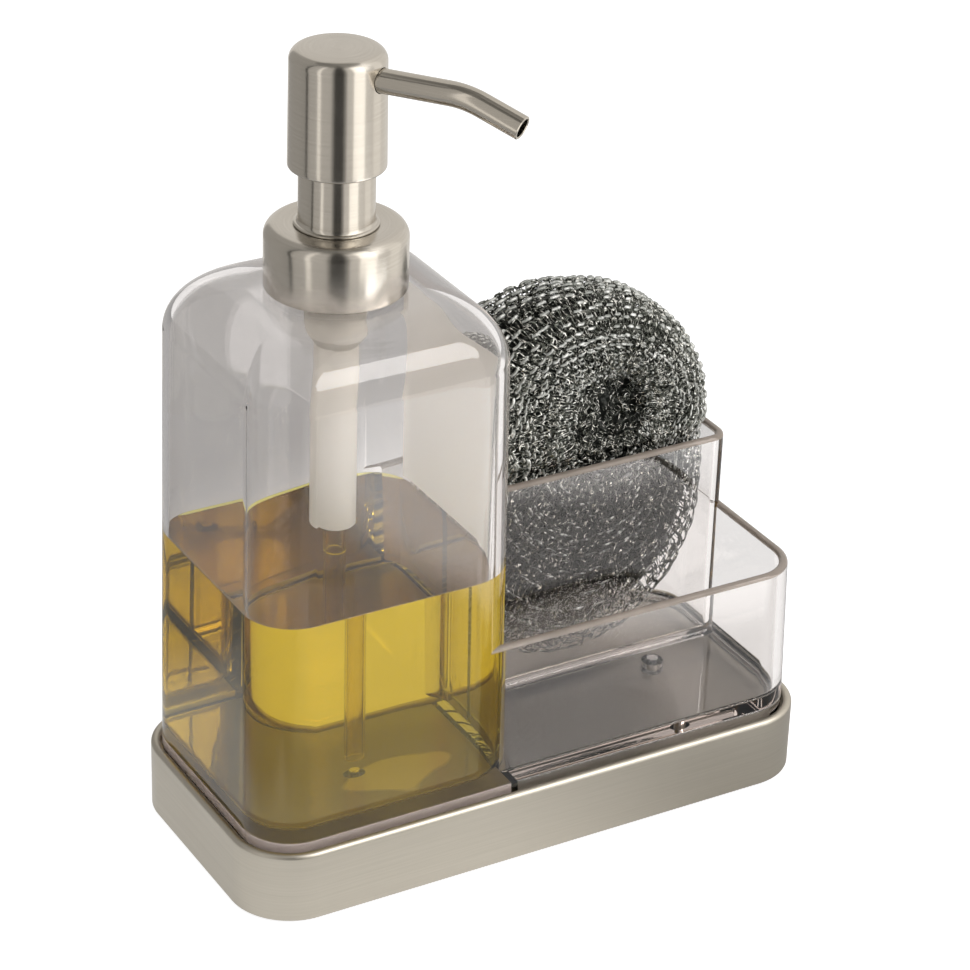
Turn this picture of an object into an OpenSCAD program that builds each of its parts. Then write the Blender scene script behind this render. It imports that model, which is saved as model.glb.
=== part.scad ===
/* [Steel base] */
// Length of the steel base
base_len = 174; // [150:1:210]
// Width of the steel base
base_wid = 80.4; // [74:0.2:100]
// Height of the steel skirt
base_h = 20.4; // [16:0.2:30]
// Plan radius of the base's corners
base_corner = 17.2; // [14:0.2:22]
// Thickness of the steel sheet
sheet_t = 0.8; // [0.6:0.1:1]
// Width of the rolled rim
rim_wid = 2.7; // [2.4:0.1:3.4]
// Depth of the steel deck below the top of the rim
deck_drop = 2.2; // [2:0.1:4]
// Gap between the rim and the clear body
rim_gap = 0.3; // [0.2:0.05:0.5]

/* [Underside] */
// Thickness of the plastic bottom plate
plate_t = 2; // [1.6:0.2:3]
// Height of the bottom plate above the skirt's lower edge
plate_lift = 0.8; // [0.6:0.1:1.5]
// Thickness of the plate's upright wall
plate_wall = 2; // [1.5:0.1:3]
// Thickness of the rubber pad
pad_t = 2; // [1.8:0.1:2.8]
// How far the pad stands below the steel skirt
pad_proud = 0.6; // [0.3:0.1:1]
// Margin from the steel base's edge to the pad
pad_margin = 11; // [8:0.5:14]
// Plan radius of the pad's corners
pad_corner = 9; // [5:0.5:12]
// Distance of the right screw from the centre
screw_x = 57; // [45:1:65]
// Radius of the screw shanks
screw_r = 1.5; // [1.2:0.1:2]
// Radius of the screw heads
screw_head_r = 3; // [2.6:0.1:3.6]
// Height of the screw heads
screw_head_h = 1.8; // [1.4:0.1:2.4]
// Radius of the screw posts and bosses
post_r = 4.6; // [4.2:0.1:6]

/* [Clear body] */
// Wall of the clear body
wall = 2.5; // [2:0.1:3]
// Thickness of the clear floor
floor_t = 3; // [2.4:0.1:4]
// Hollow under the clear floor
floor_gap = 3.2; // [2.6:0.1:5]
// Height of the low tray's walls above the floor
tray_depth = 40.7; // [25:0.5:50]
// Lean of the low walls, as a share of their height
tray_lean_share = 0.028; // [0.01:0.002:0.04]
// Height of the rear compartment's walls above the floor
rear_depth = 62.9; // [54:0.5:75]
// Distance of the divider's front face behind the centre line
divider_y = 4.4; // [0:0.2:8]
// Plan radius of the rear compartment's front corner
rear_corner = 5.2; // [3.6:0.2:7]

/* [Bottle] */
// Length of the bottle
bottle_len = 76.5; // [66:0.5:84]
// Height from the floor to the start of the shoulder
bottle_h = 120.6; // [90:0.5:140]
// Lean of the bottle's sides, as a share of their height
bottle_lean_share = 0.01; // [0.004:0.002:0.02]
// Rise of the rounded shoulder
shoulder_rise = 16.2; // [12:0.2:20]
// Inward run of the rounded shoulder
shoulder_run = 15.5; // [12:0.5:18]
// Outer radius of the neck
neck_r = 14.6; // [14:0.1:15.5]
// Wall of the neck
neck_wall = 3; // [2.4:0.1:3.4]
// Height of the neck above the shoulder
neck_h = 12.6; // [12:0.1:18]
// Depth of the liquid soap
soap_depth = 61; // [20:1:66]

/* [Collar] */
// Outer radius of the steel collar
collar_r = 18.5; // [18:0.1:20]
// Gap between the shoulder and the collar
collar_gap = 1; // [0.6:0.1:1.4]
// Rounding of the collar's upper edge
collar_round = 3.4; // [2.6:0.1:4]
// Thickness of the pump's steel parts
steel_t = 0.9; // [0.7:0.1:1.1]
// Outer radius of the fixed steel sleeve
sleeve_r = 9.8; // [9.5:0.1:10]
// Height of the sleeve above the collar
sleeve_h = 18.7; // [17:0.1:20]

/* [Pump head] */
// Outer radius of the head
head_r = 12.45; // [12.2:0.05:13.4]
// Height of the head
head_h = 31.3; // [30:0.1:34]
// Rounding of the head's upper edge
head_round = 3; // [2:0.1:4]
// Height of the head above the collar at rest
head_lift = 15.5; // [15:0.1:16.5]
// Stroke of the pump
stroke = 14; // [10:0.5:14]

/* [Spout] */
// Outer radius of the spout tube
spout_r = 3.15; // [2.8:0.05:3.4]
// Wall of the spout tube
spout_wall = 0.7; // [0.5:0.05:0.9]
// Depth of the spout's axis below the head's top
spout_drop = 6.9; // [6.8:0.1:7.6]
// Turn of the spout from the long side towards the front, in degrees
spout_turn = 57; // [0:1:90]
// Rise of the spout's first stretch, in degrees
spout_rise = 2; // [0:0.5:2.5]
// Fall of the spout's last stretch, in degrees
spout_fall = 18; // [10:1:40]
// Length of the spout's first stretch outside the head
spout_first = 18.4; // [12:0.5:26]
// Radius of the spout's bend
spout_bend = 26; // [16:1:36]
// Length of the spout's last stretch
spout_last = 11.6; // [6:0.5:20]

/* [Pump works] */
// Outer radius of the chamber's upper part
chamber_top_r = 8; // [7.6:0.1:8.6]
// Outer radius of the chamber's lower part
chamber_r = 5.5; // [5.3:0.1:6.5]
// Length of the chamber's upper part below its flange
chamber_top_len = 26; // [22:0.5:30]
// Length of the chamber's lower part
chamber_len = 55; // [50:0.5:62]
// Thickness of the chamber's flange
flange_t = 1.5; // [1.2:0.1:2]
// Radius of the piston's bore
bore_r = 4.4; // [4.3:0.05:4.6]
// Outer radius of the stem
stem_r = 4; // [3.8:0.05:4.2]
// Radius of the stem's bore
stem_bore_r = 1.8; // [1.4:0.1:2]
// Length of the piston
piston_len = 8; // [7:0.5:10]
// Outer radius of the dip tube
dip_r = 3; // [2.6:0.1:3.2]
// Wall of the dip tube
dip_wall = 0.8; // [0.6:0.1:1]
// Distance of the dip tube's end above the floor
dip_lift = 3; // [2:0.5:8]
// Radius of the inlet ball
ball_r = 2; // [1.8:0.1:2.2]
// Lift of the inlet ball
ball_lift = 1.2; // [0.8:0.1:1.6]
// Mean radius of the return spring
spring_r = 3.3; // [3:0.1:3.6]
// Radius of the spring's wire
wire_r = 0.35; // [0.25:0.05:0.45]
// Number of curls in the spring
curls = 9; // [6:1:12]

/* [Scourer] */
// Height of the knitted scourer
scourer_h = 110.6; // [95:0.5:125]
// Gap between the scourer and the compartment
scourer_gap = 0.5; // [0.4:0.1:1]
// Bulge of the scourer above the compartment, on each side
scourer_bulge = 2; // [1:0.1:4]
// Radius of the scourer's fuller shoulder beside the bottle
puff_shoulder_r = 37.5; // [30:0.5:42]
// Rise of that shoulder above the round top
puff_shoulder_h = 1.2; // [0:0.1:3]
// Rounding of the scourer's edges
scourer_round = 11; // [8:0.5:11]
// Depth of the dimple in each side of the scourer
dimple_h = 6; // [3:0.5:8]
// Radius of the dimple within its rounded rim
dimple_r = 12; // [8:0.5:16]
// Rounding of the dimple's rim
dimple_round = 12; // [4:0.5:16]
// Distance of the dimple from the scourer's middle
dimple_side = 8.7; // [0:0.1:12]
// Height of the dimple above the floor
dimple_rise = 79; // [60:0.5:90]

/* [Hidden] */
// Overrun of the cuts
cut = 1;
// Thin slab at each level of a hull
film = 0.02;
// Clearance of running fits
run_gap = 0.05;
// Clearance between pieces that turn or slide past one another
free_gap = 0.3;
// Clearance round the soap
soap_gap = 0.15;
// Thread clearance between the neck and the nut
thread_gap = 0.4;
// Gasket between the neck and the chamber
gasket_t = 1;
// Lip of the nut over the chamber's flange
lip_t = 0.8;
// Height of the cap inside the sleeve
cap_h = 6.9;
// Length of the cap's spigot in the chamber
cap_spigot = 7;
// Wall of the chamber's upper part
chamber_wall = 1.4;
// Length of the dip tube in its socket
dip_grip = 5;
// Wall of plastic round the ball's seat
seat_t = 2;
// Radius of the ball's seat and of the cage's hole
seat_r = 1.3;
// Thickness of the ball's cage
cage_t = 1.4;
// Radius of the stem's spigot in the piston
spigot_r = 2.6;
// Length of the stem's spigot
spigot_len = 5;
// Thickness of the piston seal
seal_t = 2;
// Depth of the seal's groove
seal_depth = 0.55;
// Distance of the seal from the piston's lower end
seal_lift = 1.5;
// Radius of the boss that holds the stem in the head
stem_boss_r = 6.4;
// Room left at the end of the stroke
end_gap = 1;
// Height of the head's core above the head's lower edge
core_lift = 1;
// Distance of the stem's end below the top of the core's space
stem_drop = 0.6;
// Distance of the spout's inner end from the pump's axis
spout_inner = 3.4;
// Plastic left above a screw's tip
screw_cover = 1.2;
// Countersunk depth of the screw heads below the plate
head_sink = 0.2;
// Web across the hollow under the clear floor
web_t = 2;
// Number of levels in the shoulder
shoulder_steps = 6;
// Numbers of sides
$fn = 96;
hull_fn = 32;
wire_sides = 6;
curl_rings = 8;
tube_sides = 32;
bend_steps = 8;

// Derived heights
skirt_z = pad_proud;
rim_z = skirt_z + base_h;
deck_z = rim_z - deck_drop;
floor_z = deck_z + floor_gap + floor_t;
tray_z = floor_z + tray_depth;
rear_z = floor_z + rear_depth;
shoulder_z = floor_z + bottle_h;
top_z = shoulder_z + shoulder_rise;
neck_z = top_z + neck_h;
flange_z = neck_z + gasket_t;
cap_z = flange_z + flange_t;
lip_z = cap_z + free_gap;
foot_z = lip_z + lip_t;
collar_z = foot_z + steel_t + steel_t;
sleeve_z = collar_z + sleeve_h;
head_z = collar_z + head_lift;
crown_z = head_z + head_h;
spout_z = crown_z - spout_drop;
soap_z = floor_z + soap_depth;
plate_z = skirt_z + plate_lift;
step_z = flange_z - chamber_top_len;
chamber_z = step_z - chamber_len;
socket_z = chamber_z + dip_grip;
seat_z = socket_z + seat_t;
ball_z = seat_z + sqrt(ball_r * ball_r - seat_r * seat_r) + run_gap;
cage_z = ball_z + ball_r + ball_lift + free_gap;
spring_z = cage_z + cage_t;
piston_z = step_z - piston_len / 2;
stem_z = piston_z + piston_len;
space_z = sleeve_z + stroke + end_gap;
stem_top_z = space_z - stem_drop;
boss_z = cap_z + cap_h + stroke + end_gap;

// Derived plan sizes
clear_x = base_len / 2 - rim_wid - rim_gap;
clear_y = base_wid / 2 - rim_wid - rim_gap;
clear_corner = base_corner - rim_wid - rim_gap;
lean_in = tray_lean_share * (tray_z - deck_z);
bottle_x = bottle_len - clear_x;
pump_x = bottle_len / 2 - clear_x;
rear_x = clear_x - lean_in;
rear_y = clear_y - lean_in;
rear_back = clear_corner - lean_in;
neck_bore_r = neck_r - neck_wall;
nut_r = collar_r - steel_t - run_gap;
core_r = head_r - steel_t - run_gap;
sleeve_bore_r = sleeve_r - steel_t;
foot_r = sleeve_r + steel_t + steel_t;
core_bore_r = sleeve_r + free_gap + run_gap;
seal_r = bore_r - run_gap;
piston_r = bore_r - run_gap - run_gap;
scourer_x0 = bottle_x + scourer_gap;
scourer_x1 = rear_x - wall - scourer_gap;
scourer_r = (scourer_x1 - scourer_x0) / 2;
scourer_x = (scourer_x1 + scourer_x0) / 2;
scourer_y = (divider_y + rear_y) / 2;
scourer_t = rear_y - divider_y - wall - wall - scourer_gap - scourer_gap;
screw_places = [[pump_x, 0], [screw_x, 0]];
screw_top_z = floor_z - screw_cover;
screw_low_z = plate_z + head_sink;

// Flat outlines
module rounded(x0, x1, y0, y1, r) {
    translate([x0 + r, y0]) square([x1 - x0 - r - r, y1 - y0]);
    translate([x0, y0 + r]) square([x1 - x0, y1 - y0 - r - r]);
    for (x = [x0 + r, x1 - r], y = [y0 + r, y1 - r])
        translate([x, y]) circle(r = r);
}

module base_outline(inset) {
    hx = base_len / 2 - inset;
    hy = base_wid / 2 - inset;
    rounded(-hx, hx, -hy, hy, base_corner - inset);
}

module pad_outline(grow) {
    hx = base_len / 2 - pad_margin + grow;
    hy = base_wid / 2 - pad_margin + grow;
    rounded(-hx, hx, -hy, hy, pad_corner + grow);
}

module clear_outline(inset) {
    hx = clear_x - inset;
    hy = clear_y - inset;
    rounded(-hx, hx, -hy, hy, clear_corner - inset);
}

module prism(z0, z1) {
    translate([0, 0, z0]) linear_extrude(z1 - z0) children();
}

// Round pieces on the pump's axis
module pipe(r, bore, z0, z1) {
    translate([0, 0, z0]) difference() {
        cylinder(r = r, h = z1 - z0);
        if (bore > 0)
            translate([0, 0, -cut]) cylinder(r = bore, h = z1 - z0 + cut + cut);
    }
}

module rod(r, z0, z1) {
    translate([0, 0, z0]) cylinder(r = r, h = z1 - z0);
}

module domed(r, z0, z1, f) {
    rotate_extrude() {
        translate([0, z0]) square([r - f, z1 - z0]);
        translate([0, z0]) square([r, z1 - z0 - f]);
        intersection() {
            translate([r - f, z1 - f]) circle(r = f);
            translate([0, z0]) square([r, z1 - z0]);
        }
    }
}

module cup(r, t, z0, z1, f) {
    difference() {
        domed(r, z0, z1, f);
        domed(r - t, z0 - cut, z1 - t, f - t);
    }
}

module at_pump() {
    translate([pump_x, 0, 0]) children();
}

// A flat profile carried round the base's edge, with its x as the corner's radius
module round_edge() {
    sx = base_len / 2 - base_corner;
    sy = base_wid / 2 - base_corner;
    for (turn = [0, 180]) rotate([0, 0, turn]) {
        translate([sx, sy, 0]) rotate_extrude(angle = 90) children();
        translate([-sx, sy, 0]) rotate([0, 0, 90]) rotate_extrude(angle = 90) children();
        translate([sx, sy, 0]) rotate([90, 0, 0]) linear_extrude(sy + sy) children();
        translate([-sx, sy, 0]) rotate([90, 0, 90]) linear_extrude(sx + sx) children();
    }
}

module rim_profile() {
    half = rim_wid / 2;
    bead_z = rim_z - half;
    difference() {
        union() {
            translate([base_corner - half, bead_z]) circle(r = half);
            translate([base_corner - sheet_t, skirt_z]) square([sheet_t, bead_z - skirt_z]);
            translate([base_corner - rim_wid, deck_z - sheet_t]) square([sheet_t, bead_z - deck_z + sheet_t]);
        }
        translate([base_corner - half, bead_z]) circle(r = half - sheet_t);
        translate([base_corner - rim_wid + sheet_t, deck_z - sheet_t - sheet_t])
            square([rim_wid - sheet_t - sheet_t, bead_z - deck_z + sheet_t + sheet_t]);
    }
}

// Steel base with a skirt, a rolled rim and a deck
module base_tray() {
    color("silver") difference() {
        union() {
            round_edge() rim_profile();
            prism(deck_z - sheet_t, deck_z) base_outline(rim_wid - film);
        }
        for (p = screw_places)
            translate([p[0], p[1], 0]) rod(screw_r + run_gap + run_gap, deck_z - sheet_t - cut, deck_z + cut);
    }
}

// Plastic plate that closes the base from below
module base_plate() {
    side = sheet_t + run_gap;
    under = deck_z - sheet_t;
    color("dimgray") difference() {
        union() {
            prism(plate_z, plate_z + plate_t) base_outline(side);
            prism(plate_z, under) difference() {
                base_outline(rim_wid + rim_gap);
                base_outline(rim_wid + rim_gap + plate_wall);
            }
            for (p = screw_places) translate([p[0], p[1], 0]) rod(post_r, plate_z, under);
        }
        prism(plate_z - cut, pad_t + run_gap) difference() {
            pad_outline(run_gap);
            for (p = screw_places) translate([p[0], p[1]]) circle(r = post_r);
        }
        for (p = screw_places) translate([p[0], p[1], 0]) {
            rod(screw_head_r + run_gap, plate_z - cut, screw_low_z + screw_head_h);
            rod(screw_r + run_gap, plate_z, under + cut);
        }
    }
}

// Rubber pad under the base
module base_pad() {
    color([0.16, 0.16, 0.17]) prism(0, pad_t) difference() {
        pad_outline(0);
        for (p = screw_places) translate([p[0], p[1]]) circle(r = post_r + free_gap);
    }
}

// Screws that hold the base to the clear body
module base_screws() {
    color("gainsboro") for (p = screw_places) translate([p[0], p[1], 0]) {
        rod(screw_head_r, screw_low_z, screw_low_z + screw_head_h);
        rod(screw_r, screw_low_z, screw_top_z);
    }
}

// Levels of the low walls and of the bottle
module low_level(z, inset) {
    in = inset + tray_lean_share * (z - deck_z);
    hy = clear_y - in;
    prism(z - film, z) rounded(pump_x, clear_x - in, -hy, hy, clear_corner - in, $fn = hull_fn);
}

module bottle_level(z, shell, run) {
    in = shell + run + bottle_lean_share * (min(z, shoulder_z) - deck_z);
    hy = clear_y - in;
    prism(z - film, z) rounded(in - clear_x, bottle_x - in, -hy, hy, clear_corner - shell, $fn = hull_fn);
}

module bottle_form(z0, shell) {
    rise = shoulder_rise - shell;
    hull() {
        bottle_level(z0 + film, shell, 0);
        for (i = [0:shoulder_steps]) {
            a = 90 * i / shoulder_steps;
            bottle_level(shoulder_z + rise * sin(a), shell, shoulder_run * (1 - cos(a)));
        }
    }
}

module rear_outline(inset) {
    x1 = rear_x - inset;
    y0 = divider_y + inset;
    y1 = rear_y - inset;
    rf = rear_corner - inset;
    rb = rear_back - inset;
    translate([pump_x, y0]) square([x1 - rb - pump_x, y1 - y0]);
    translate([pump_x, y0 + rf]) square([x1 - pump_x, y1 - y0 - rf - rb]);
    translate([pump_x, y0]) square([x1 - rf - pump_x, rf + rf]);
    translate([x1 - rf, y0 + rf]) circle(r = rf);
    translate([x1 - rb, y1 - rb]) circle(r = rb);
}

// One clear moulding: bottle, low tray and tall rear compartment
module clear_body() {
    color([0.8, 0.78, 0.78, 0.4]) difference() {
        union() {
            difference() {
                union() {
                    hull() {
                        low_level(deck_z + film, 0);
                        low_level(tray_z, 0);
                    }
                    prism(tray_z - wall, rear_z) rear_outline(0);
                }
                difference() {
                    hull() {
                        low_level(floor_z + film, wall);
                        low_level(tray_z + cut, wall);
                    }
                    prism(floor_z - cut, rear_z + cut) rear_outline(0);
                }
                prism(floor_z, rear_z + cut) rear_outline(wall);
            }
            bottle_form(deck_z, 0);
            at_pump() rod(neck_r, top_z - wall, neck_z);
        }
        bottle_form(floor_z, wall);
        at_pump() rod(neck_bore_r, top_z - wall - cut, neck_z + cut);
        prism(deck_z - cut, floor_z - floor_t) difference() {
            clear_outline(wall);
            translate([bottle_x - web_t, -base_wid]) square([web_t, base_wid + base_wid]);
            for (p = screw_places) translate([p[0], p[1]]) circle(r = post_r);
        }
        for (p = screw_places) translate([p[0], p[1], 0]) rod(screw_r + run_gap, deck_z - cut, screw_top_z + run_gap);
    }
}

// Liquid soap in the bottle
module soap() {
    color("goldenrod") difference() {
        hull() {
            bottle_level(floor_z + soap_gap + film, wall + soap_gap, 0);
            bottle_level(soap_z, wall + soap_gap, 0);
        }
        at_pump() rod(dip_r + soap_gap, floor_z, soap_z + cut);
    }
}

// Gasket on the neck
module neck_gasket() {
    color("whitesmoke") at_pump() pipe(neck_r - run_gap, neck_bore_r, neck_z, flange_z);
}

// Pump housing that hangs in the neck
module chamber() {
    cone_h = chamber_top_r - chamber_r;
    color([0.93, 0.92, 0.9, 0.7]) at_pump() difference() {
        union() {
            rod(neck_r - run_gap, flange_z, cap_z);
            rod(chamber_top_r, step_z, cap_z);
            translate([0, 0, step_z - cone_h])
                cylinder(r1 = chamber_r, r2 = chamber_top_r, h = cone_h);
            rod(chamber_r, chamber_z, step_z);
        }
        rod(chamber_top_r - chamber_wall, step_z + chamber_wall, cap_z + cut);
        rod(bore_r, seat_z, cap_z);
        rod(seat_r, socket_z - cut, seat_z + cut);
        rod(dip_r + run_gap, chamber_z - cut, socket_z);
    }
}

// Cap that closes the housing and guides the stem
module chamber_cap() {
    color("white") at_pump() difference() {
        union() {
            rod(sleeve_bore_r - free_gap, cap_z, cap_z + cap_h);
            rod(chamber_top_r - chamber_wall - run_gap, cap_z - cap_spigot, cap_z + film);
        }
        rod(stem_r + run_gap, cap_z - cap_spigot - cut, cap_z + cap_h + cut);
    }
}

// Cage over the inlet ball
module ball_cage() {
    color("white") at_pump() difference() {
        rod(bore_r - run_gap, seat_z, cage_z + cage_t);
        rod(ball_r + free_gap, seat_z - cut, cage_z);
        rod(seat_r, cage_z - cut, cage_z + cage_t + cut);
    }
}

module inlet_ball() {
    color("lightgray") at_pump() translate([0, 0, ball_z]) sphere(r = ball_r);
}

// Tube that draws soap from just above the floor
module dip_tube() {
    color("white") at_pump() pipe(dip_r, dip_r - dip_wall, floor_z + dip_lift, socket_z - run_gap);
}

// Return spring as one wound tube
spring_top = piston_z - run_gap - wire_r;
spring_low = spring_z + run_gap + wire_r;
spring_count = curls * curl_rings;

function spring_point(i) =
    let (a = 360 * i / curl_rings)
    [spring_r * cos(a), spring_r * sin(a), spring_low + (spring_top - spring_low) * i / spring_count];

function spring_ring(i) =
    let (a = 360 * i / curl_rings)
    [for (k = [0:wire_sides - 1])
        let (b = 360 * k / wire_sides, out = wire_r * cos(b))
        spring_point(i) + [out * cos(a), out * sin(a), wire_r * sin(b)]];

spring_gap = min([for (i = [0:curl_rings], j = [i + curl_rings - 2:i + curl_rings + 2])
    norm(spring_point(i) - spring_point(j)) - wire_r - wire_r]);
echo("least gap between the spring's curls", spring_gap);

module return_spring() {
    points = [for (i = [0:spring_count]) each spring_ring(i)];
    side_faces = [for (i = [0:spring_count - 1], k = [0:wire_sides - 1])
        let (a = i * wire_sides + k, b = i * wire_sides + (k + 1) % wire_sides)
        each [[a, b, a + wire_sides], [b, b + wire_sides, a + wire_sides]]];
    first_face = [for (k = [wire_sides - 1:-1:0]) k];
    last_face = [for (k = [0:wire_sides - 1]) spring_count * wire_sides + k];
    color("silver") at_pump() polyhedron(points, concat(side_faces, [first_face, last_face]));
}

// Piston with the socket of the stem
module piston() {
    groove_r = seal_r - seal_depth;
    low = piston_z + seal_lift;
    color("whitesmoke") at_pump() difference() {
        rod(piston_r, piston_z, stem_z);
        difference() {
            rod(bore_r, low, low + seal_t);
            rod(groove_r, low - cut, low + seal_t + cut);
        }
        rod(spigot_r + run_gap, stem_z - spigot_len - run_gap, stem_z + cut);
        rod(stem_bore_r, piston_z - cut, stem_z);
    }
}

module piston_seal() {
    low = piston_z + seal_lift;
    color("dimgray") at_pump() pipe(seal_r, seal_r - seal_depth + film, low + film, low + seal_t - film);
}

// Hollow stem between the piston and the head
module stem() {
    color("white") at_pump() difference() {
        union() {
            rod(stem_r, stem_z, stem_top_z);
            rod(spigot_r, stem_z - spigot_len, stem_z + film);
        }
        rod(stem_bore_r, stem_z - spigot_len - cut, stem_top_z + cut);
    }
}

// Spun steel collar
module collar_shell() {
    color("silver") at_pump() difference() {
        cup(collar_r, steel_t, top_z + collar_gap, collar_z, collar_round);
        rod(sleeve_r + run_gap, collar_z - steel_t - cut, collar_z + cut);
    }
}

// Nut inside the collar, over the neck
module collar_nut() {
    color("white") at_pump() difference() {
        domed(nut_r, top_z + collar_gap + steel_t, foot_z, collar_round - steel_t);
        rod(neck_r + thread_gap, top_z, lip_z);
        rod(sleeve_bore_r, lip_z - cut, foot_z + cut);
    }
}

// Fixed steel sleeve with a foot under the collar's top
module sleeve() {
    color("silver") at_pump() difference() {
        union() {
            rod(sleeve_r, foot_z, sleeve_z);
            rod(foot_r, foot_z, foot_z + steel_t);
        }
        rod(sleeve_bore_r, foot_z - cut, sleeve_z + cut);
    }
}

// The spout's path, with its own x pointing out of the head
module spout_frame() {
    translate([pump_x, 0, spout_z]) rotate([0, -spout_rise, -spout_turn]) children();
}

// Places and turns along the spout, from its inner end to its tip
spout_bend_turn = spout_rise + spout_fall;
spout_x = head_r + spout_first;
spout_end_x = spout_x + spout_bend * sin(spout_bend_turn);
spout_end_z = -spout_bend * (1 - cos(spout_bend_turn));
spout_stops = concat(
    [[spout_inner, 0, 0]],
    [for (i = [0:bend_steps])
        let (a = spout_bend_turn * i / bend_steps)
        [spout_x + spout_bend * sin(a), -spout_bend * (1 - cos(a)), a]],
    [[spout_end_x + spout_last * cos(spout_bend_turn),
        spout_end_z - spout_last * sin(spout_bend_turn), spout_bend_turn]]
);

function spout_ring(stop, r) = [for (k = [0:tube_sides - 1])
    let (b = 360 * k / tube_sides)
    [stop[0] + r * sin(b) * sin(stop[2]), r * cos(b), stop[1] + r * sin(b) * cos(stop[2])]];

module tube_along(stops, r, bore) {
    n = tube_sides;
    m = len(stops);
    points = concat(
        [for (stop = stops) each spout_ring(stop, r)],
        [for (stop = stops) each spout_ring(stop, bore)]
    );
    sides = [for (i = [0:m - 2], k = [0:n - 1])
        let (a = i * n + k, b = i * n + (k + 1) % n, c = a + n, d = b + n, q = m * n)
        each [[a, c, b], [b, c, d], [a + q, b + q, c + q], [b + q, d + q, c + q]]];
    ends = [for (k = [0:n - 1])
        let (a = k, b = (k + 1) % n, q = m * n, e = (m - 1) * n)
        each [[a, b, b + q], [a, b + q, a + q], [a + e, b + q + e, b + e], [a + e, a + q + e, b + q + e]]];
    polyhedron(points, concat(sides, ends));
}

// Steel cup of the pump head
module head_shell() {
    color("silver") difference() {
        at_pump() cup(head_r, steel_t, head_z, crown_z, head_round);
        spout_frame() rotate([0, 90, 0]) cylinder(r = spout_r + run_gap, h = head_r + cut);
    }
}

// Plastic core of the head, with the stem's socket and the spout's socket
module head_core() {
    channel_r = spout_r - spout_wall;
    color("white") difference() {
        at_pump() difference() {
            domed(core_r, head_z + core_lift, crown_z - steel_t - run_gap, head_round - steel_t);
            difference() {
                rod(core_bore_r, head_z + core_lift - cut, space_z);
                rod(stem_boss_r, boss_z, space_z + cut);
            }
            rod(stem_r + run_gap, head_z, stem_top_z + free_gap);
            rod(stem_bore_r, stem_top_z, spout_z);
        }
        spout_frame() {
            translate([spout_inner - run_gap, 0, 0]) rotate([0, 90, 0])
                cylinder(r = spout_r + run_gap, h = head_r);
            translate([-channel_r, 0, 0]) rotate([0, 90, 0]) cylinder(r = channel_r, h = head_r);
        }
    }
}

// Bent steel spout
module spout() {
    color("silver") spout_frame() tube_along(spout_stops, spout_r, spout_r - spout_wall);
}

// Knitted steel scourer that stands in the rear compartment; spots are pairs of place and radius
module scourer_form(t, spots) {
    hull() for (i = [-2:2]) {
        a = 45 * i;
        in = scourer_round * (1 - cos(a));
        y = scourer_y + (t / 2 - scourer_round) * sign(i) + scourer_round * sin(a);
        for (spot = spots) translate([spot[0][0], y + film / 2, spot[0][1]]) rotate([90, 0, 0])
            cylinder(r = spot[1] - in, h = film, $fn = hull_fn + hull_fn);
    }
}

module dimple() {
    bowl_r = (dimple_r * dimple_r + dimple_h * dimple_h) / (dimple_h + dimple_h);
    bowl_z = bowl_r - dimple_h;
    rim_x = sqrt(pow(bowl_r + dimple_round, 2) - pow(bowl_z + dimple_round, 2));
    share = dimple_round / (bowl_r + dimple_round);
    meet_x = rim_x * (1 - share);
    meet_z = share * (bowl_z + dimple_round) - dimple_round;
    rotate_extrude() {
        intersection() {
            translate([0, bowl_z]) circle(r = bowl_r);
            translate([0, -dimple_h - cut]) square([meet_x, dimple_h + cut + cut]);
        }
        difference() {
            translate([0, meet_z]) square([rim_x, cut - meet_z]);
            translate([rim_x, -dimple_round]) circle(r = dimple_round);
        }
    }
}

module scourer() {
    low = floor_z + soap_gap + soap_gap;
    high = floor_z + scourer_h;
    bulge_z = rear_z + free_gap + free_gap;
    wide_t = scourer_t + scourer_bulge + scourer_bulge;
    foot = [[scourer_x, low + scourer_r], scourer_r];
    crown = [[scourer_x, high - scourer_r], scourer_r];
    shoulder = [[scourer_x0 + puff_shoulder_r, high + puff_shoulder_h - puff_shoulder_r], puff_shoulder_r];
    color("slategray") difference() {
        union() {
            scourer_form(scourer_t, [foot, crown]);
            intersection() {
                scourer_form(wide_t, [foot, crown, shoulder]);
                prism(bulge_z, high + puff_shoulder_h + cut) translate([scourer_x - scourer_r - cut, -base_wid])
                    square([scourer_r + scourer_r + cut + cut, base_wid + base_wid]);
            }
        }
        for (side = [-1, 1])
            translate([scourer_x + dimple_side, scourer_y + side * wide_t / 2, floor_z + dimple_rise])
                rotate([-90 * side, 0, 0]) dimple();
    }
}

base_tray();
base_plate();
base_pad();
base_screws();
clear_body();
soap();
neck_gasket();
chamber();
chamber_cap();
ball_cage();
inlet_ball();
dip_tube();
return_spring();
piston();
piston_seal();
stem();
collar_shell();
collar_nut();
sleeve();
head_shell();
head_core();
spout();
scourer();
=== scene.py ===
import functools
import math

import bmesh
import bpy
from mathutils import Matrix, Vector, noise


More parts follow.
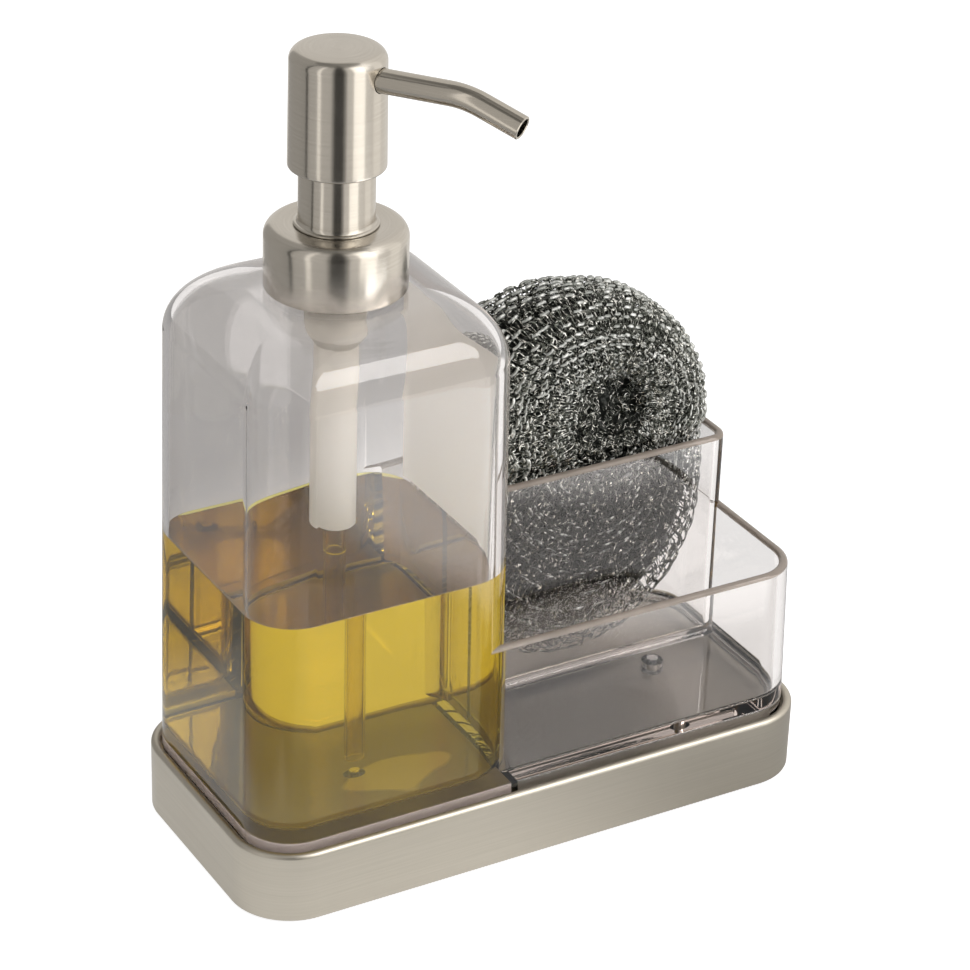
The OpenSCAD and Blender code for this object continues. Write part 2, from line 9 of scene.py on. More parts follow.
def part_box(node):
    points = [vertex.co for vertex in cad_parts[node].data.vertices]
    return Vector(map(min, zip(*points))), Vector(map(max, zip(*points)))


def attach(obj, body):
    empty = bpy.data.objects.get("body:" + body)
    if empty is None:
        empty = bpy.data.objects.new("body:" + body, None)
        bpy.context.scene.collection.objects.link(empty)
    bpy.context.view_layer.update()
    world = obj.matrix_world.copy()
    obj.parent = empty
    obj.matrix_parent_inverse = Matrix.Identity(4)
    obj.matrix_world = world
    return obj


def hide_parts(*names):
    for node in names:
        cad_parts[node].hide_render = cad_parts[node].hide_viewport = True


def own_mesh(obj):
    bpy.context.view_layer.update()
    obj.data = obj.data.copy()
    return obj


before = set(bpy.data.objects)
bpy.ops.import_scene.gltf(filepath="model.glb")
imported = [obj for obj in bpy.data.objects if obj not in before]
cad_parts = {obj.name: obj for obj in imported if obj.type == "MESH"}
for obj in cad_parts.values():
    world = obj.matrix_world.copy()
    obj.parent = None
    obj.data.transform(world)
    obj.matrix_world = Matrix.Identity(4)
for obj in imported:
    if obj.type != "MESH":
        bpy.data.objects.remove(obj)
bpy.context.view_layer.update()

mm = 0.001
print("frame loaded with", len(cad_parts), "nodes")

# Places that the pieces share, in millimetres
pumpX = -45.75           # axis of neck, collar, pump and dip tube
deckZ = 18.8             # top of the steel deck
floorZ = 25.0            # inner floor of bottle, tray and compartment
soapZ = 86.0             # level of the soap


# Meshes

weldDistance, leastEdge = 2e-6, 1e-7     # metres


def tidyMesh(mesh, smoothDegrees=35, close=False):
    work = bmesh.new()
    work.from_mesh(mesh)
    bmesh.ops.remove_doubles(work, verts=work.verts, dist=weldDistance)
    if close:
        bmesh.ops.holes_fill(work, edges=[e for e in work.edges if len(e.link_faces) == 1], sides=0)
    bmesh.ops.dissolve_degenerate(work, edges=work.edges, dist=leastEdge)
    bmesh.ops.recalc_face_normals(work, faces=work.faces)
    work.to_mesh(mesh)
    work.free()
    mesh.shade_smooth()
    mesh.set_sharp_from_angle(angle=math.radians(smoothDegrees))


def newObject(name, data):
    made = bpy.data.objects.new(name, data)
    bpy.context.scene.collection.objects.link(made)
    return made


def newMesh(name, points, faces):
    mesh = bpy.data.meshes.new(name)
    mesh.from_pydata([(x * mm, y * mm, z * mm) for x, y, z in points], [], faces)
    return mesh


def meshPiece(name, points, faces, smoothDegrees=35):
    mesh = newMesh(name, points, faces)
    tidyMesh(mesh, smoothDegrees)
    return newObject(name, mesh)


def turns(start, end, steps):
    return [math.radians(start + (end - start) * i / steps) for i in range(steps + 1)]


def outline(x0, x1, y0, y1, corners, z, steps=20):
    # runs anticlockwise from the right side's back corner; one radius a corner
    middles = ((x1, y1, -1, -1), (x0, y1, 1, -1), (x0, y0, 1, 1), (x1, y0, -1, 1))
    points = []
    for k, ((x, y, inX, inY), r) in enumerate(zip(middles, corners)):
        for i in range(steps + 1):
            a = math.radians(90 * (k + i / steps))
            points.append((x + inX * r + r * math.cos(a), y + inY * r + r * math.sin(a), z))
    return points


def plainRing(size, z, inset, steps=20):
    x, y, r = (size[key] - inset for key in ("halfLength", "halfWidth", "corner"))
    return outline(-x, x, -y, y, (r,) * 4, z, steps)


def loft(name, rings, smoothDegrees=35):
    count = len(rings[0])
    points = [p for ring in rings for p in ring]
    faces = [tuple(range(count - 1, -1, -1)), tuple(range(len(points) - count, len(points)))]
    for a in range(0, len(points) - count, count):
        for k in range(count):
            n = (k + 1) % count
            faces.append((a + k, a + n, a + count + n, a + count + k))
    return meshPiece(name, points, faces, smoothDegrees)


def spun(name, profile, centre=(pumpX, 0), steps=96, closed=True):
    # profile: pairs of radius and height, closed unless it starts and ends on the axis
    points, faces = [], []
    count = len(profile)
    for i in range(steps):
        a = math.tau * i / steps
        points += [(centre[0] + r * math.cos(a), centre[1] + r * math.sin(a), z) for r, z in profile]
    for i in range(steps):
        a, b = i * count, (i + 1) % steps * count
        for k in range(count if closed else count - 1):
            n = (k + 1) % count
            faces.append((a + k, b + k, b + n, a + n))
    return meshPiece(name, points, faces)


def rod(name, r, low, high, x=pumpX, steps=48):
    return spun(name, [(0, low), (r, low), (r, high), (0, high)], (x, 0), steps, False)


def arc(cx, cz, r, start, end, steps=8):
    return [(cx + r * math.cos(a), cz + r * math.sin(a)) for a in turns(start, end, steps)]


def lowEdge(z, r):
    # heights and pulls of a rounding that leaves a flat bottom
    return [(z + r * (1 - math.cos(a)), r * (1 - math.sin(a))) for a in turns(0, 90, 8)]


def highEdge(z, r):
    return [(z - r + r * math.sin(a), r * (1 - math.cos(a))) for a in turns(0, 90, 8)]


def flipped(levels):
    return [(z, -pull) for z, pull in levels]


def stack(ring, inset, levels):
    return [ring(z, inset, pull) for z, pull in levels]


def applySteps(piece):
    # the piece's mesh gives way to what its modifiers make of it
    graph = bpy.context.evaluated_depsgraph_get()
    result = bpy.data.meshes.new_from_object(piece.evaluated_get(graph))
    piece.modifiers.clear()
    old, piece.data = piece.data, result
    bpy.data.meshes.remove(old)


def carve(piece, others, operation="DIFFERENCE"):
    for other in others:
        step = piece.modifiers.new("step", "BOOLEAN")
        step.operation, step.solver, step.object = operation, "MANIFOLD", other
    applySteps(piece)
    tidyMesh(piece.data)


def flattenNormals(piece):
    # large flat faces keep their own direction where a rounding meets them
    step = piece.modifiers.new("step", "WEIGHTED_NORMAL")
    step.keep_sharp, step.weight = True, 100
    applySteps(piece)


def drop(*pieces):
    for piece in pieces:
        mesh = piece.data
        bpy.data.objects.remove(piece)
        bpy.data.meshes.remove(mesh)


def settle(piece, body, slot, *nodes):
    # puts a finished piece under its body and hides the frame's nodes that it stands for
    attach(piece, body)
    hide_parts(*nodes)


def dress(piece, material, body, slot, *nodes):
    piece.data.materials.clear()
    piece.data.materials.append(material)
    piece.data.name = piece.name
    settle(piece, body, slot, *nodes)


# Camera

view = {
    "place": (-0.41510, -0.69752, 0.53168), "azimuth": -30.773, "elevation": 28.352, "roll": 2.016,
    "lens": 127.44, "sensor": 36, "near": 0.01, "far": 20,
    "bounces": 32, "glossyBounces": 12,      # enough for rays that cross plastic, soap and tube
}


def makeCamera():
    a, e, r = (math.radians(view[k]) for k in ("azimuth", "elevation", "roll"))
    back = Vector((math.sin(a) * math.cos(e), -math.cos(a) * math.cos(e), math.sin(e)))
    right = Vector((math.cos(a), math.sin(a), 0))
    up = back.cross(right)
    rightRolled = right * math.cos(r) + up * math.sin(r)
    upRolled = up * math.cos(r) - right * math.sin(r)
    data = bpy.data.cameras.new("camera")
    data.lens, data.sensor_width, data.sensor_fit = view["lens"], view["sensor"], "HORIZONTAL"
    data.clip_start, data.clip_end = view["near"], view["far"]
    camera = newObject("camera", data)
    turn = Matrix((rightRolled, upRolled, back)).transposed()
    camera.matrix_world = Matrix.Translation(view["place"]) @ turn.to_4x4()
    scene = bpy.context.scene
    scene.camera = camera
    scene.view_settings.view_transform = "Standard"
    scene.cycles.max_bounces = scene.cycles.transmission_bounces = view["bounces"]
    scene.cycles.glossy_bounces = view["glossyBounces"]


makeCamera()
print("camera placed")


# Node helpers

def feed(tree, node, inputs):
    # inputs: what each input gets, by name or number; a socket is linked, and None is left out
    for key, value in dict(inputs).items():
        if isinstance(value, bpy.types.NodeSocket):
            tree.links.new(value, node.inputs[key])
        elif value is not None:
            node.inputs[key].default_value = value


def put(tree, kind, inputs=(), **settings):
    node = tree.nodes.new(kind)
    for key, value in settings.items():
        setattr(node, key, value)
    feed(tree, node, inputs)
    return node


def get(tree, kind, inputs=(), output=0, **settings):
    return put(tree, kind, inputs, **settings).outputs[output]


def spaced(values):
    return {key.replace("_", " "): value for key, value in values.items()}


def newMaterial(name):
    material = bpy.data.materials.new(name)
    material.use_nodes = True
    return material, material.node_tree, material.node_tree.nodes["Principled BSDF"]


def newTree(name, kind, inputs, outputs):
    # an input's first value tells its kind, and one that has no first value gives its kind instead
    tree = bpy.data.node_groups.new(name, kind)
    kinds = {int: "Int", float: "Float", tuple: "Vector"}
    for label, value in inputs.items():
        sort = kinds.get(type(value), value)
        made = tree.interface.new_socket(name=label, in_out="INPUT", socket_type="NodeSocket" + sort)
        if sort != value:
            made.default_value = value
    for label, sort in outputs.items():
        tree.interface.new_socket(name=label, in_out="OUTPUT", socket_type="NodeSocket" + sort)
    return tree, put(tree, "NodeGroupInput").outputs, put(tree, "NodeGroupOutput")


def maths(tree, operation, *values):
    return get(tree, "ShaderNodeMath", enumerate(values), operation=operation)


def vectors(tree, operation, first, second):
    # second: a vector, or the length for SCALE
    key = "Scale" if operation == "SCALE" else 1
    output = "Value" if operation == "DISTANCE" else "Vector"
    return get(tree, "ShaderNodeVectorMath", {0: first, key: second}, output, operation=operation)


def splitUp(tree, value):
    return put(tree, "ShaderNodeSeparateXYZ", {0: value}).outputs


def joinUp(tree, *values):
    return get(tree, "ShaderNodeCombineXYZ", enumerate(values))


def objectPlace(tree):
    return get(tree, "ShaderNodeTexCoord", output="Object")


def noiseAt(tree, place, scale, detail=2.0, rough=0.5, seed=None):
    inputs = {"Vector": place, "Scale": scale, "Detail": detail, "Roughness": rough, "W": seed}
    return put(tree, "ShaderNodeTexNoise", inputs, noise_dimensions="3D" if seed is None else "4D").outputs


def spread(tree, value, low, high, start=0.0, end=1.0, smooth=False):
    # low where the value is at its start, high where it is at its end
    inputs = {"Value": value, "From Min": start, "From Max": end, "To Min": low, "To Max": high}
    way = "SMOOTHSTEP" if smooth else "LINEAR"
    return get(tree, "ShaderNodeMapRange", inputs, "Result", interpolation_type=way)


def blend(tree, mask, first, second):
    # first and second: colours or sockets
    colours = [(*value, 1) if isinstance(value, tuple) else value for value in (first, second)]
    return get(tree, "ShaderNodeMix", {0: mask, 6: colours[0], 7: colours[1]}, 2, data_type="RGBA")


def bumpFrom(tree, height, strength):
    return get(tree, "ShaderNodeBump", {"Height": height, "Strength": strength, "Distance": 0.0001}, "Normal")


# Shared effects

def makeStraightGrain():
    # polishing lines that run level round walls and along X on flat tops
    tree, give, out = newTree("straightGrain", "ShaderNodeTree", {"Fineness": 2600.0, "Length": 30.0},
                              {"Lines": "Float", "Cloud": "Float"})
    place = objectPlace(tree)
    x, y, z = splitUp(tree, place)
    up = splitUp(tree, get(tree, "ShaderNodeNewGeometry", output="Normal"))["Z"]
    flat = maths(tree, "GREATER_THAN", maths(tree, "ABSOLUTE", up), 0.9)
    across, acrossTop = (maths(tree, "MULTIPLY", value, give["Fineness"]) for value in (z, y))
    along, side = (maths(tree, "MULTIPLY", value, give["Length"]) for value in (x, y))
    wall, top = (noiseAt(tree, joinUp(tree, *values), 1.0, 3.0, 0.6)["Fac"]
                 for values in ((along, side, across), (along, acrossTop, z)))
    lines = get(tree, "ShaderNodeMix", {0: flat, 2: wall, 3: top}, data_type="FLOAT")
    feed(tree, out, {"Lines": lines, "Cloud": noiseAt(tree, place, 45.0)["Fac"]})
    return tree


def makeSpunGrain():
    # turned lines round the pump's axis, on walls and on tops
    tree, give, out = newTree("spunGrain", "ShaderNodeTree", {"Fineness": 3000.0},
                              {"Lines": "Float", "Cloud": "Float"})
    place = objectPlace(tree)
    x, y, z = splitUp(tree, get(tree, "ShaderNodeMapping", {"Vector": place, "Location": (-pumpX * mm, 0, 0)}))
    radius = maths(tree, "SQRT", maths(tree, "ADD", *(maths(tree, "MULTIPLY", v, v) for v in (x, y))))
    outward, up = (maths(tree, "MULTIPLY", value, give["Fineness"]) for value in (radius, z))
    around = maths(tree, "MULTIPLY", maths(tree, "ARCTAN2", y, x), 0.6)
    lines = noiseAt(tree, joinUp(tree, outward, up, around), 1.0, 3.0, 0.6)["Fac"]
    feed(tree, out, {"Lines": lines, "Cloud": noiseAt(tree, place, 90.0)["Fac"]})
    return tree


def makeDust():
    # soft smears and a few specks on plastic; the smears also place the painted glints on the scourer's wire
    tree, give, out = newTree("dustAndGlints", "ShaderNodeTree", {"Smear Size": 60.0, "Speck Size": 900.0},
                              {"Smear": "Float", "Speck": "Float"})
    place = objectPlace(tree)
    cells = get(tree, "ShaderNodeTexVoronoi", {"Vector": place, "Scale": give["Speck Size"]}, "Distance")
    speck = maths(tree, "LESS_THAN", cells, 0.07)
    feed(tree, out, {"Smear": noiseAt(tree, place, give["Smear Size"], 3.0)["Fac"], "Speck": speck})
    return tree


straightGrain, spunGrain, dustAndGlints = makeStraightGrain(), makeSpunGrain(), makeDust()


# Materials

plasticIor = 1.49


def steelMaterial(name, dark, light, rough, group, fineness, bump=0.12, anisotropy=0.0):
    material, tree, shader = newMaterial(name)
    grain = put(tree, "ShaderNodeGroup", {"Fineness": fineness}, node_tree=group).outputs
    feed(tree, shader, {
        "Metallic": 1, "Base Color": blend(tree, grain["Lines"], dark, light),
        "Roughness": spread(tree, grain["Cloud"], *rough), "Normal": bumpFrom(tree, grain["Lines"], bump),
    })
    if anisotropy:
        tangent = get(tree, "ShaderNodeTangent", direction_type="RADIAL", axis="Z")
        feed(tree, shader, {"Anisotropic": anisotropy, "Anisotropic Rotation": 0.25, "Tangent": tangent})
    return material


def smeared(tree, scale):
    return put(tree, "ShaderNodeGroup", {"Smear Size": scale}, node_tree=dustAndGlints).outputs


def plasticMaterial(name, first, second, rough, scale=400.0, bump=0.05, lets=0.0):
    # lets: the share of light that goes through
    material, tree, shader = newMaterial(name)
    smear = smeared(tree, scale)["Smear"]
    feed(tree, shader, {
        "Base Color": blend(tree, smear, first, second), "Roughness": spread(tree, smear, *rough),
        "Normal": bumpFrom(tree, smear, bump), "Transmission Weight": lets, "IOR": plasticIor,
    })
    return material


def clearMaterial(name, first, second, rough, ior, scale, speckRough, loss, specular=0.5):
    # loss of red, green and blue light per metre on the way through
    material, tree, shader = newMaterial(name)
    marks = smeared(tree, scale)
    feed(tree, shader, {
        "Base Color": blend(tree, marks["Smear"], first, second),
        "Roughness": maths(tree, "MULTIPLY_ADD", marks["Speck"], speckRough, spread(tree, marks["Smear"], *rough)),
        "Transmission Weight": 1.0, "IOR": ior, "Specular IOR Level": specular,
    })
    strength = max(loss)
    colour = (*(1 - value / strength for value in loss), 1)
    volume = get(tree, "ShaderNodeVolumeAbsorption", {"Color": colour, "Density": strength})
    feed(tree, tree.nodes["Material Output"], {"Volume": volume})
    return material


wet = {
    "patch": (-0.034, -0.006, 0.022), "bendScale": 45.0, "bend": 0.030, "edge": (-0.003, -0.001),
    "film": (0.40, 0.37, 0.32), "dry": (0.92, 0.90, 0.86), "fineness": 2200.0,
}


def makeWetUnderside():
    # the steel deck as it shows through a wet film, with one dry patch that mirrors more
    material, tree, shader = newMaterial("wetUnderside")
    place = objectPlace(tree)
    bend = noiseAt(tree, place, wet["bendScale"], 1.0)["Fac"]
    reach = maths(tree, "MULTIPLY_ADD", bend, -wet["bend"], vectors(tree, "DISTANCE", place, wet["patch"]))
    dry = spread(tree, reach, 1.0, 0.0, *wet["edge"])
    grain = put(tree, "ShaderNodeGroup", {"Fineness": wet["fineness"]}, node_tree=straightGrain).outputs
    feed(tree, shader, {
        "Base Color": blend(tree, dry, wet["film"], wet["dry"]), "Metallic": 1.0, "Roughness": 0.32,
        "Normal": bumpFrom(tree, grain["Lines"], 0.1),
    })
    return material


satinSteel = steelMaterial("satinSteel", (0.45, 0.415, 0.35), (0.55, 0.51, 0.44), (0.36, 0.46), straightGrain, 2200.0)
turnedSteel = steelMaterial("turnedSteel", (0.52, 0.485, 0.43), (0.66, 0.62, 0.555), (0.17, 0.24), spunGrain, 2600.0,
                            anisotropy=0.75)
tubeSteel = steelMaterial("tubeSteel", (0.46, 0.425, 0.37), (0.58, 0.54, 0.475), (0.10, 0.16), straightGrain, 2600.0,
                          0.04)
springSteel = steelMaterial("springSteel", (0.55,) * 3, (0.66,) * 3, (0.2, 0.3), straightGrain, 3000.0, 0.03)
clearPlastic = clearMaterial("clearPlastic", (0.93, 0.91, 0.90), (0.96, 0.945, 0.935), (0.0, 0.01), plasticIor, 30.0,
                             0.02, (5.0, 7.5, 9.0))
hazyPlastic = plasticMaterial("hazyPlastic", (0.95, 0.90, 0.82), (0.98, 0.94, 0.88), (0.3, 0.45), 500.0, 0.03, 0.25)
# the wall tops' brown is painted shade for what the clear edges refract
wallTopShade = plasticMaterial("wallTopShade", (0.28, 0.23, 0.19), (0.50, 0.42, 0.355), (0.05, 0.14), 160.0, 0.02, 0.35)
wallFoot = plasticMaterial("wallFoot", (0.66, 0.56, 0.53), (0.78, 0.68, 0.64), (0.3, 0.4), 120.0, 0.02, 0.3)
soapLiquid = clearMaterial("soapLiquid", (0.95, 0.91, 0.30), (0.97, 0.93, 0.34), (0.0, 0.0), 1.35, 20.0, 0.0,
                           (1.2, 4.6, 28.0), 0.1)
wetUnderside = makeWetUnderside()
milkyPlastic = plasticMaterial("milkyPlastic", (0.96, 0.915, 0.83), (0.98, 0.945, 0.87), (0.3, 0.4), lets=0.5)
tubePlastic = clearMaterial("tubePlastic", (0.95, 0.92, 0.84), (0.98, 0.95, 0.88), (0.08, 0.16), 1.42, 200.0, 0.1,
                            (2.0, 2.0, 4.0))
whitePlastic = plasticMaterial("whitePlastic", (0.80, 0.79, 0.76), (0.86, 0.85, 0.82), (0.35, 0.5))
darkPlastic = plasticMaterial("darkPlastic", (0.035, 0.035, 0.038), (0.06, 0.06, 0.065), (0.45, 0.6), bump=0.2)
padRubber = plasticMaterial("padRubber", (0.012, 0.012, 0.013), (0.025, 0.025, 0.027), (0.6, 0.8), 1500.0, 0.4)
print("materials made")


# Clear moulding: bottle, low tray and tall compartment in one shell

moulding = {
    "halfLength": 84.0, "halfWidth": 37.2, "corner": 14.2, "wall": 2.5, "leastCorner": 0.3,
    "trayTop": 65.7, "trayLean": 0.028,
    "rearTop": 87.9, "rearX": 82.687, "rearY": 35.887, "rearFront": 4.4,
    "rearBackCorner": 12.887, "rearFrontCorner": 5.2, "rearHiddenCorner": 0.5,
    "bottleX": -7.5, "bottleLean": 0.01, "shoulderZ": 145.6, "rise": 16.2, "run": 15.5, "shoulderSteps": 24,
    "neckR": 14.6, "neckBore": 11.6, "neckTop": 174.4, "neckFillet": 2, "neckEdge": 0.5,
    "edge": 1.1, "foot": 0.8, "footFillet": 2.4, "bottleFillet": 4.0, "overSoap": 1.2,
    "hollowTop": 22.0, "hollowRound": 0.6, "bossR": 3.2, "screwR": 1.6, "screwTop": 23.85, "screwX": 57.0,
    "web": 2.0, "webReach": 60, "webCorner": 0.2,
    "over": 2.0,         # how far the cutters reach past a face
}


def trayRing(z, inset, pull=0.0):
    m = moulding
    inside = inset + m["trayLean"] * (z - deckZ) + pull
    r = max(m["corner"] - inside, m["leastCorner"])
    y = m["halfWidth"] - inside
    return outline(pumpX, m["halfLength"] - inside, -y, y, (r,) * 4, z)


def bottleRing(z, inset, pull=0.0, run=0.0):
    m = moulding
    inside = inset + run + m["bottleLean"] * (min(z, m["shoulderZ"]) - deckZ) + pull
    y = m["halfWidth"] - inside
    return outline(inside - m["halfLength"], m["bottleX"] - inside, -y, y, (m["corner"] - inset - pull,) * 4, z)


def rearRing(z, inset, pull=0.0):
    m = moulding
    inside, hidden = inset + pull, m["rearHiddenCorner"]
    corners = (m["rearBackCorner"] - inside, hidden, hidden, m["rearFrontCorner"] - inside)
    return outline(pumpX, m["rearX"] - inside, m["rearFront"] + inside, m["rearY"] - inside, corners, z)


def shoulderRings(inset):
    m = moulding
    return [bottleRing(m["shoulderZ"] + (m["rise"] - inset) * math.sin(a), inset, 0.0, m["run"] * (1 - math.cos(a)))
            for a in turns(0, 90, m["shoulderSteps"])]


# where the marked faces of the moulding lie, and how squarely they face their way
faceMarks = {
    "topFrom": 0.2, "topOver": 0.05, "footTo": 0.5, "footGap": 0.1, "footSteep": 0.8, "rimUnder": 0.3, "rimTo": 9,
    "hazeDepth": 1.6, "hazeOver": 0.1, "hazeSquare": 0.9, "wetGap": 0.3, "wetSquare": 0.7,
}
hazeSlot, wetSlot, shadedTopSlot, footSlot = 1, 2, 3, 4


def markFaces(piece):
    m, f = moulding, faceMarks
    for face in piece.data.polygons:
        x, y, z = face.center / mm
        top = m["trayTop"] if y < m["rearFront"] or x > m["rearX"] or y > m["rearY"] else m["rearTop"]
        # rounded tops of the open walls, painted brown as shade for what their clear edges refract
        if x > m["bottleX"] + f["topFrom"] and top - m["edge"] < z < top + f["topOver"]:
            face.material_index = shadedTopSlot
        # the bottle's rim under the floor
        low, high = deckZ + f["footGap"], m["hollowTop"] - f["footGap"]
        if x < m["bottleX"] + f["footTo"] and low < z < high and abs(face.normal.z) < f["footSteep"]:
            if m["wall"] - f["rimUnder"] < min(m["halfLength"] + x, m["halfWidth"] - abs(y)) < f["rimTo"]:
                face.material_index = footSlot
        # a whitish, rougher haze on the bottle's inner wall beside the compartment
        inner = m["bottleX"] - m["wall"]
        if inner - f["hazeDepth"] < x < inner + f["hazeOver"] and abs(face.normal.x) > f["hazeSquare"]:
            if soapZ < z < m["shoulderZ"]:
                face.material_index = hazeSlot
        # the bottle's underside, wet on the deck
        if x < m["bottleX"] - m["web"] and abs(z - m["hollowTop"]) < f["wetGap"] and face.normal.z < -f["wetSquare"]:
            face.material_index = wetSlot


def mouth(top):
    # the levels at which an open space widens over its rounded walls
    edge = moulding["edge"]
    return flipped(highEdge(top, edge)) + [(top + moulding["over"], -edge)]


def makeMoulding():
    m = moulding
    wall, edge, fillet, over, foot = (m[key] for key in ("wall", "edge", "footFillet", "over", "foot"))
    rearTop, neckR, neckTop, neckEdge = m["rearTop"], m["neckR"], m["neckTop"], m["neckEdge"]
    tray = loft("clearMoulding", stack(trayRing, 0, lowEdge(deckZ, foot) + highEdge(m["trayTop"], edge)))
    rear = loft("rear", stack(rearRing, 0, [(m["trayTop"] - wall, 0)] + highEdge(rearTop, edge)))
    bottle = loft("bottle", stack(bottleRing, 0, lowEdge(deckZ, foot)) + shoulderRings(0))
    top, flareR = m["shoulderZ"] + m["rise"], neckR + m["neckFillet"]
    neck = spun("neck", [(0, top - wall), (flareR, top - wall), (flareR, top)]
                + arc(flareR, top + m["neckFillet"], m["neckFillet"], 270, 180) + [(neckR, neckTop - neckEdge)]
                + arc(neckR - neckEdge, neckTop - neckEdge, neckEdge, 0, 90) + [(0, neckTop)], closed=False)
    carve(tray, [rear, bottle, neck], "UNION")

    # the low tray's space, with the divider's and the bottle's feet flared for their fillets
    inside = lowEdge(floorZ, fillet)
    space = loft("space", stack(trayRing, wall, inside + mouth(m["trayTop"])))
    flare = [(floorZ - over, -fillet)] + flipped(inside)
    block = loft("block", stack(rearRing, 0, flare + [(rearTop + over, 0)]))
    pillar = loft("pillar", stack(bottleRing, 0, flare + [(rearTop + over + over, 0)]))
    carve(space, [block, pillar])
    # the tall compartment's space
    tall = loft("tall", stack(rearRing, wall, inside + mouth(rearTop)))
    carve(tall, [pillar])
    # the bottle's space
    inner = loft("inner", stack(bottleRing, wall, lowEdge(floorZ, m["bottleFillet"]) + [(soapZ + m["overSoap"], 0)])
                 + shoulderRings(wall))
    bore = rod("bore", m["neckBore"], top - wall - over, neckTop + over, steps=96)
    # the hollow below the floor, round its web and bosses
    under, lower = deckZ - over, deckZ - over - over
    levels = [(under, 0)] + highEdge(m["hollowTop"], m["hollowRound"])
    hollow = loft("hollow", [plainRing(m, z, wall + pull) for z, pull in levels])
    reach = m["webReach"]
    web = loft("web", [outline(m["bottleX"] - m["web"], m["bottleX"], -reach, reach, (m["webCorner"],) * 4, z)
                       for z in (lower, floorZ)])
    bosses = [rod("boss", m["bossR"], lower, floorZ, x) for x in (pumpX, m["screwX"])]
    carve(hollow, [web] + bosses)
    holes = [rod("hole", m["screwR"], under, m["screwTop"], x, 32) for x in (pumpX, m["screwX"])]
    carve(tray, [space, tall, inner, bore, hollow] + holes)
    drop(rear, bottle, neck, space, block, pillar, tall, inner, bore, hollow, web, *bosses, *holes)
    flattenNormals(tray)
    dress(tray, clearPlastic, "caddy", "clear_plastic", "clear_body")
    for material in (hazyPlastic, wetUnderside, wallTopShade, wallFoot):
        tray.data.materials.append(material)
    markFaces(tray)


makeMoulding()
print("clear moulding made")


# Soap, with a low meniscus and soap inside the dip tube

soap = {
    "gap": -0.05, "climb": 0.5, "climbWidth": 1.4, "climbSteps": 6, "climbUnder": 0.1, "climbPull": 0.05,
    "tubeOuter": 2.95, "tubeInner": 2.25, "tubeLow": 28.05, "over": 5,
}


def makeSoap():
    s = soap
    inset, climb, tubeTop = moulding["wall"] + s["gap"], s["climb"], soapZ + s["over"]
    levels = lowEdge(floorZ + s["gap"], moulding["bottleFillet"]) + [(soapZ + climb - s["climbUnder"], 0)]
    for i in range(s["climbSteps"] + 1):
        share = i / s["climbSteps"]
        levels.append((soapZ + climb * (1 - share) ** 2, s["climbPull"] + s["climbWidth"] * share))
    body = loft("liquidSoap", stack(bottleRing, inset, levels))
    sleeve = spun("sleeveCut", [(s["tubeInner"], s["tubeLow"]), (s["tubeOuter"], s["tubeLow"]),
                                (s["tubeOuter"], tubeTop), (s["tubeInner"], tubeTop)])
    carve(body, [sleeve])
    drop(sleeve)
    flattenNormals(body)
    dress(body, soapLiquid, "caddy", "soap", "soap")


makeSoap()
print("soap made")


# Steel base

base = {
    "halfLength": 87.0, "halfWidth": 40.2, "corner": 17.2, "low": 0.6, "beadZ": 19.65, "beadR": 1.35, "beadSteps": 18,
    "sheet": 0.8, "fillet": 0.5, "filletSteps": 6, "bevel": 0.6, "hem": 0.2, "hemMiddle": 0.06, "hemTop": 0.9,
    "screwR": 1.65, "over": 5, "steps": 32, "smooth": 40,
}


def makeBase():
    b = base
    sheet, low, bevel, hem, middle = (b[key] for key in ("sheet", "low", "bevel", "hem", "hemMiddle"))
    under = deckZ - sheet
    section = [(sheet + bevel, under), (sheet, under - bevel), (sheet, low + hem), (sheet - hem, low), (hem, low)]
    section += [(middle, low + middle), (0, low + hem), (0, low + b["hemTop"])]
    r, f = b["beadR"], b["fillet"]
    section += [(r * (1 - math.cos(a)), b["beadZ"] + r * math.sin(a)) for a in turns(0, 180, b["beadSteps"])]
    section += [(r * 2 + f * (1 - math.cos(a)), deckZ + f * (1 - math.sin(a))) for a in turns(0, 90, b["filletSteps"])]
    shell = loft("steelBase", [plainRing(b, z, inset, b["steps"]) for inset, z in section], b["smooth"])
    lower, upper = deckZ - b["over"], deckZ + b["over"]
    holes = [rod("hole", b["screwR"], lower, upper, x, 32) for x in (pumpX, moulding["screwX"])]
    carve(shell, holes)
    drop(*holes)
    flattenNormals(shell)
    dress(shell, satinSteel, "caddy", "brushed_steel", "base_tray")


makeBase()
print("steel base made")


# Pump: collar, sleeve, head and spout

pump = {
    "steel": 0.9, "steps": 128,
    "collarR": 18.5, "collarLow": 162.8, "collarTop": 179.8, "collarRound": 3.4, "collarHem": 0.15, "collarEdge": 0.25,
    "holeGap": 0.05, "stepDown": 0.12, "stepOuter": 2.2, "stepInner": 1.6,
    "sleeveR": 9.8, "sleeveLow": 178.0, "sleeveTop": 198.5, "sleeveEdge": 0.2,
    # the sleeve's foot: radii past the sleeve and heights over the collar
    "flare": ((0, 0.02), (1.15, 0.02), (1.15, 0.3), (0.95, 0.5), (0.45, 0.62), (0.16, 0.95), (0, 1.6)),
    "headR": 12.45, "headLow": 195.3, "headTop": 226.6, "headLowR": 12.55, "headTopR": 12.3, "headRound": 3.0,
    "headEdge": 0.45, "dome": 0.3, "domeSlope": 0.12, "domeFrom": 4, "domeEnd": 1, "domeShare": 0.8, "skirt": 1.2,
    "hem": 0.1, "hemIn": 0.25, "hemStep": 0.3, "hemTop": 1.0, "spoutGap": 0.16, "over": 4,
    "spoutR": 3.15, "spoutWall": 0.7, "spoutZ": 219.7, "spoutTurn": 57.0, "spoutRise": 2.0, "spoutFall": 18.0,
    "spoutFirst": 18.4, "spoutBend": 26.0, "spoutLast": 11.6, "spoutInner": 3.4, "spoutLip": 0.18, "spoutSteps": 20,
    "spoutSides": 48,
}


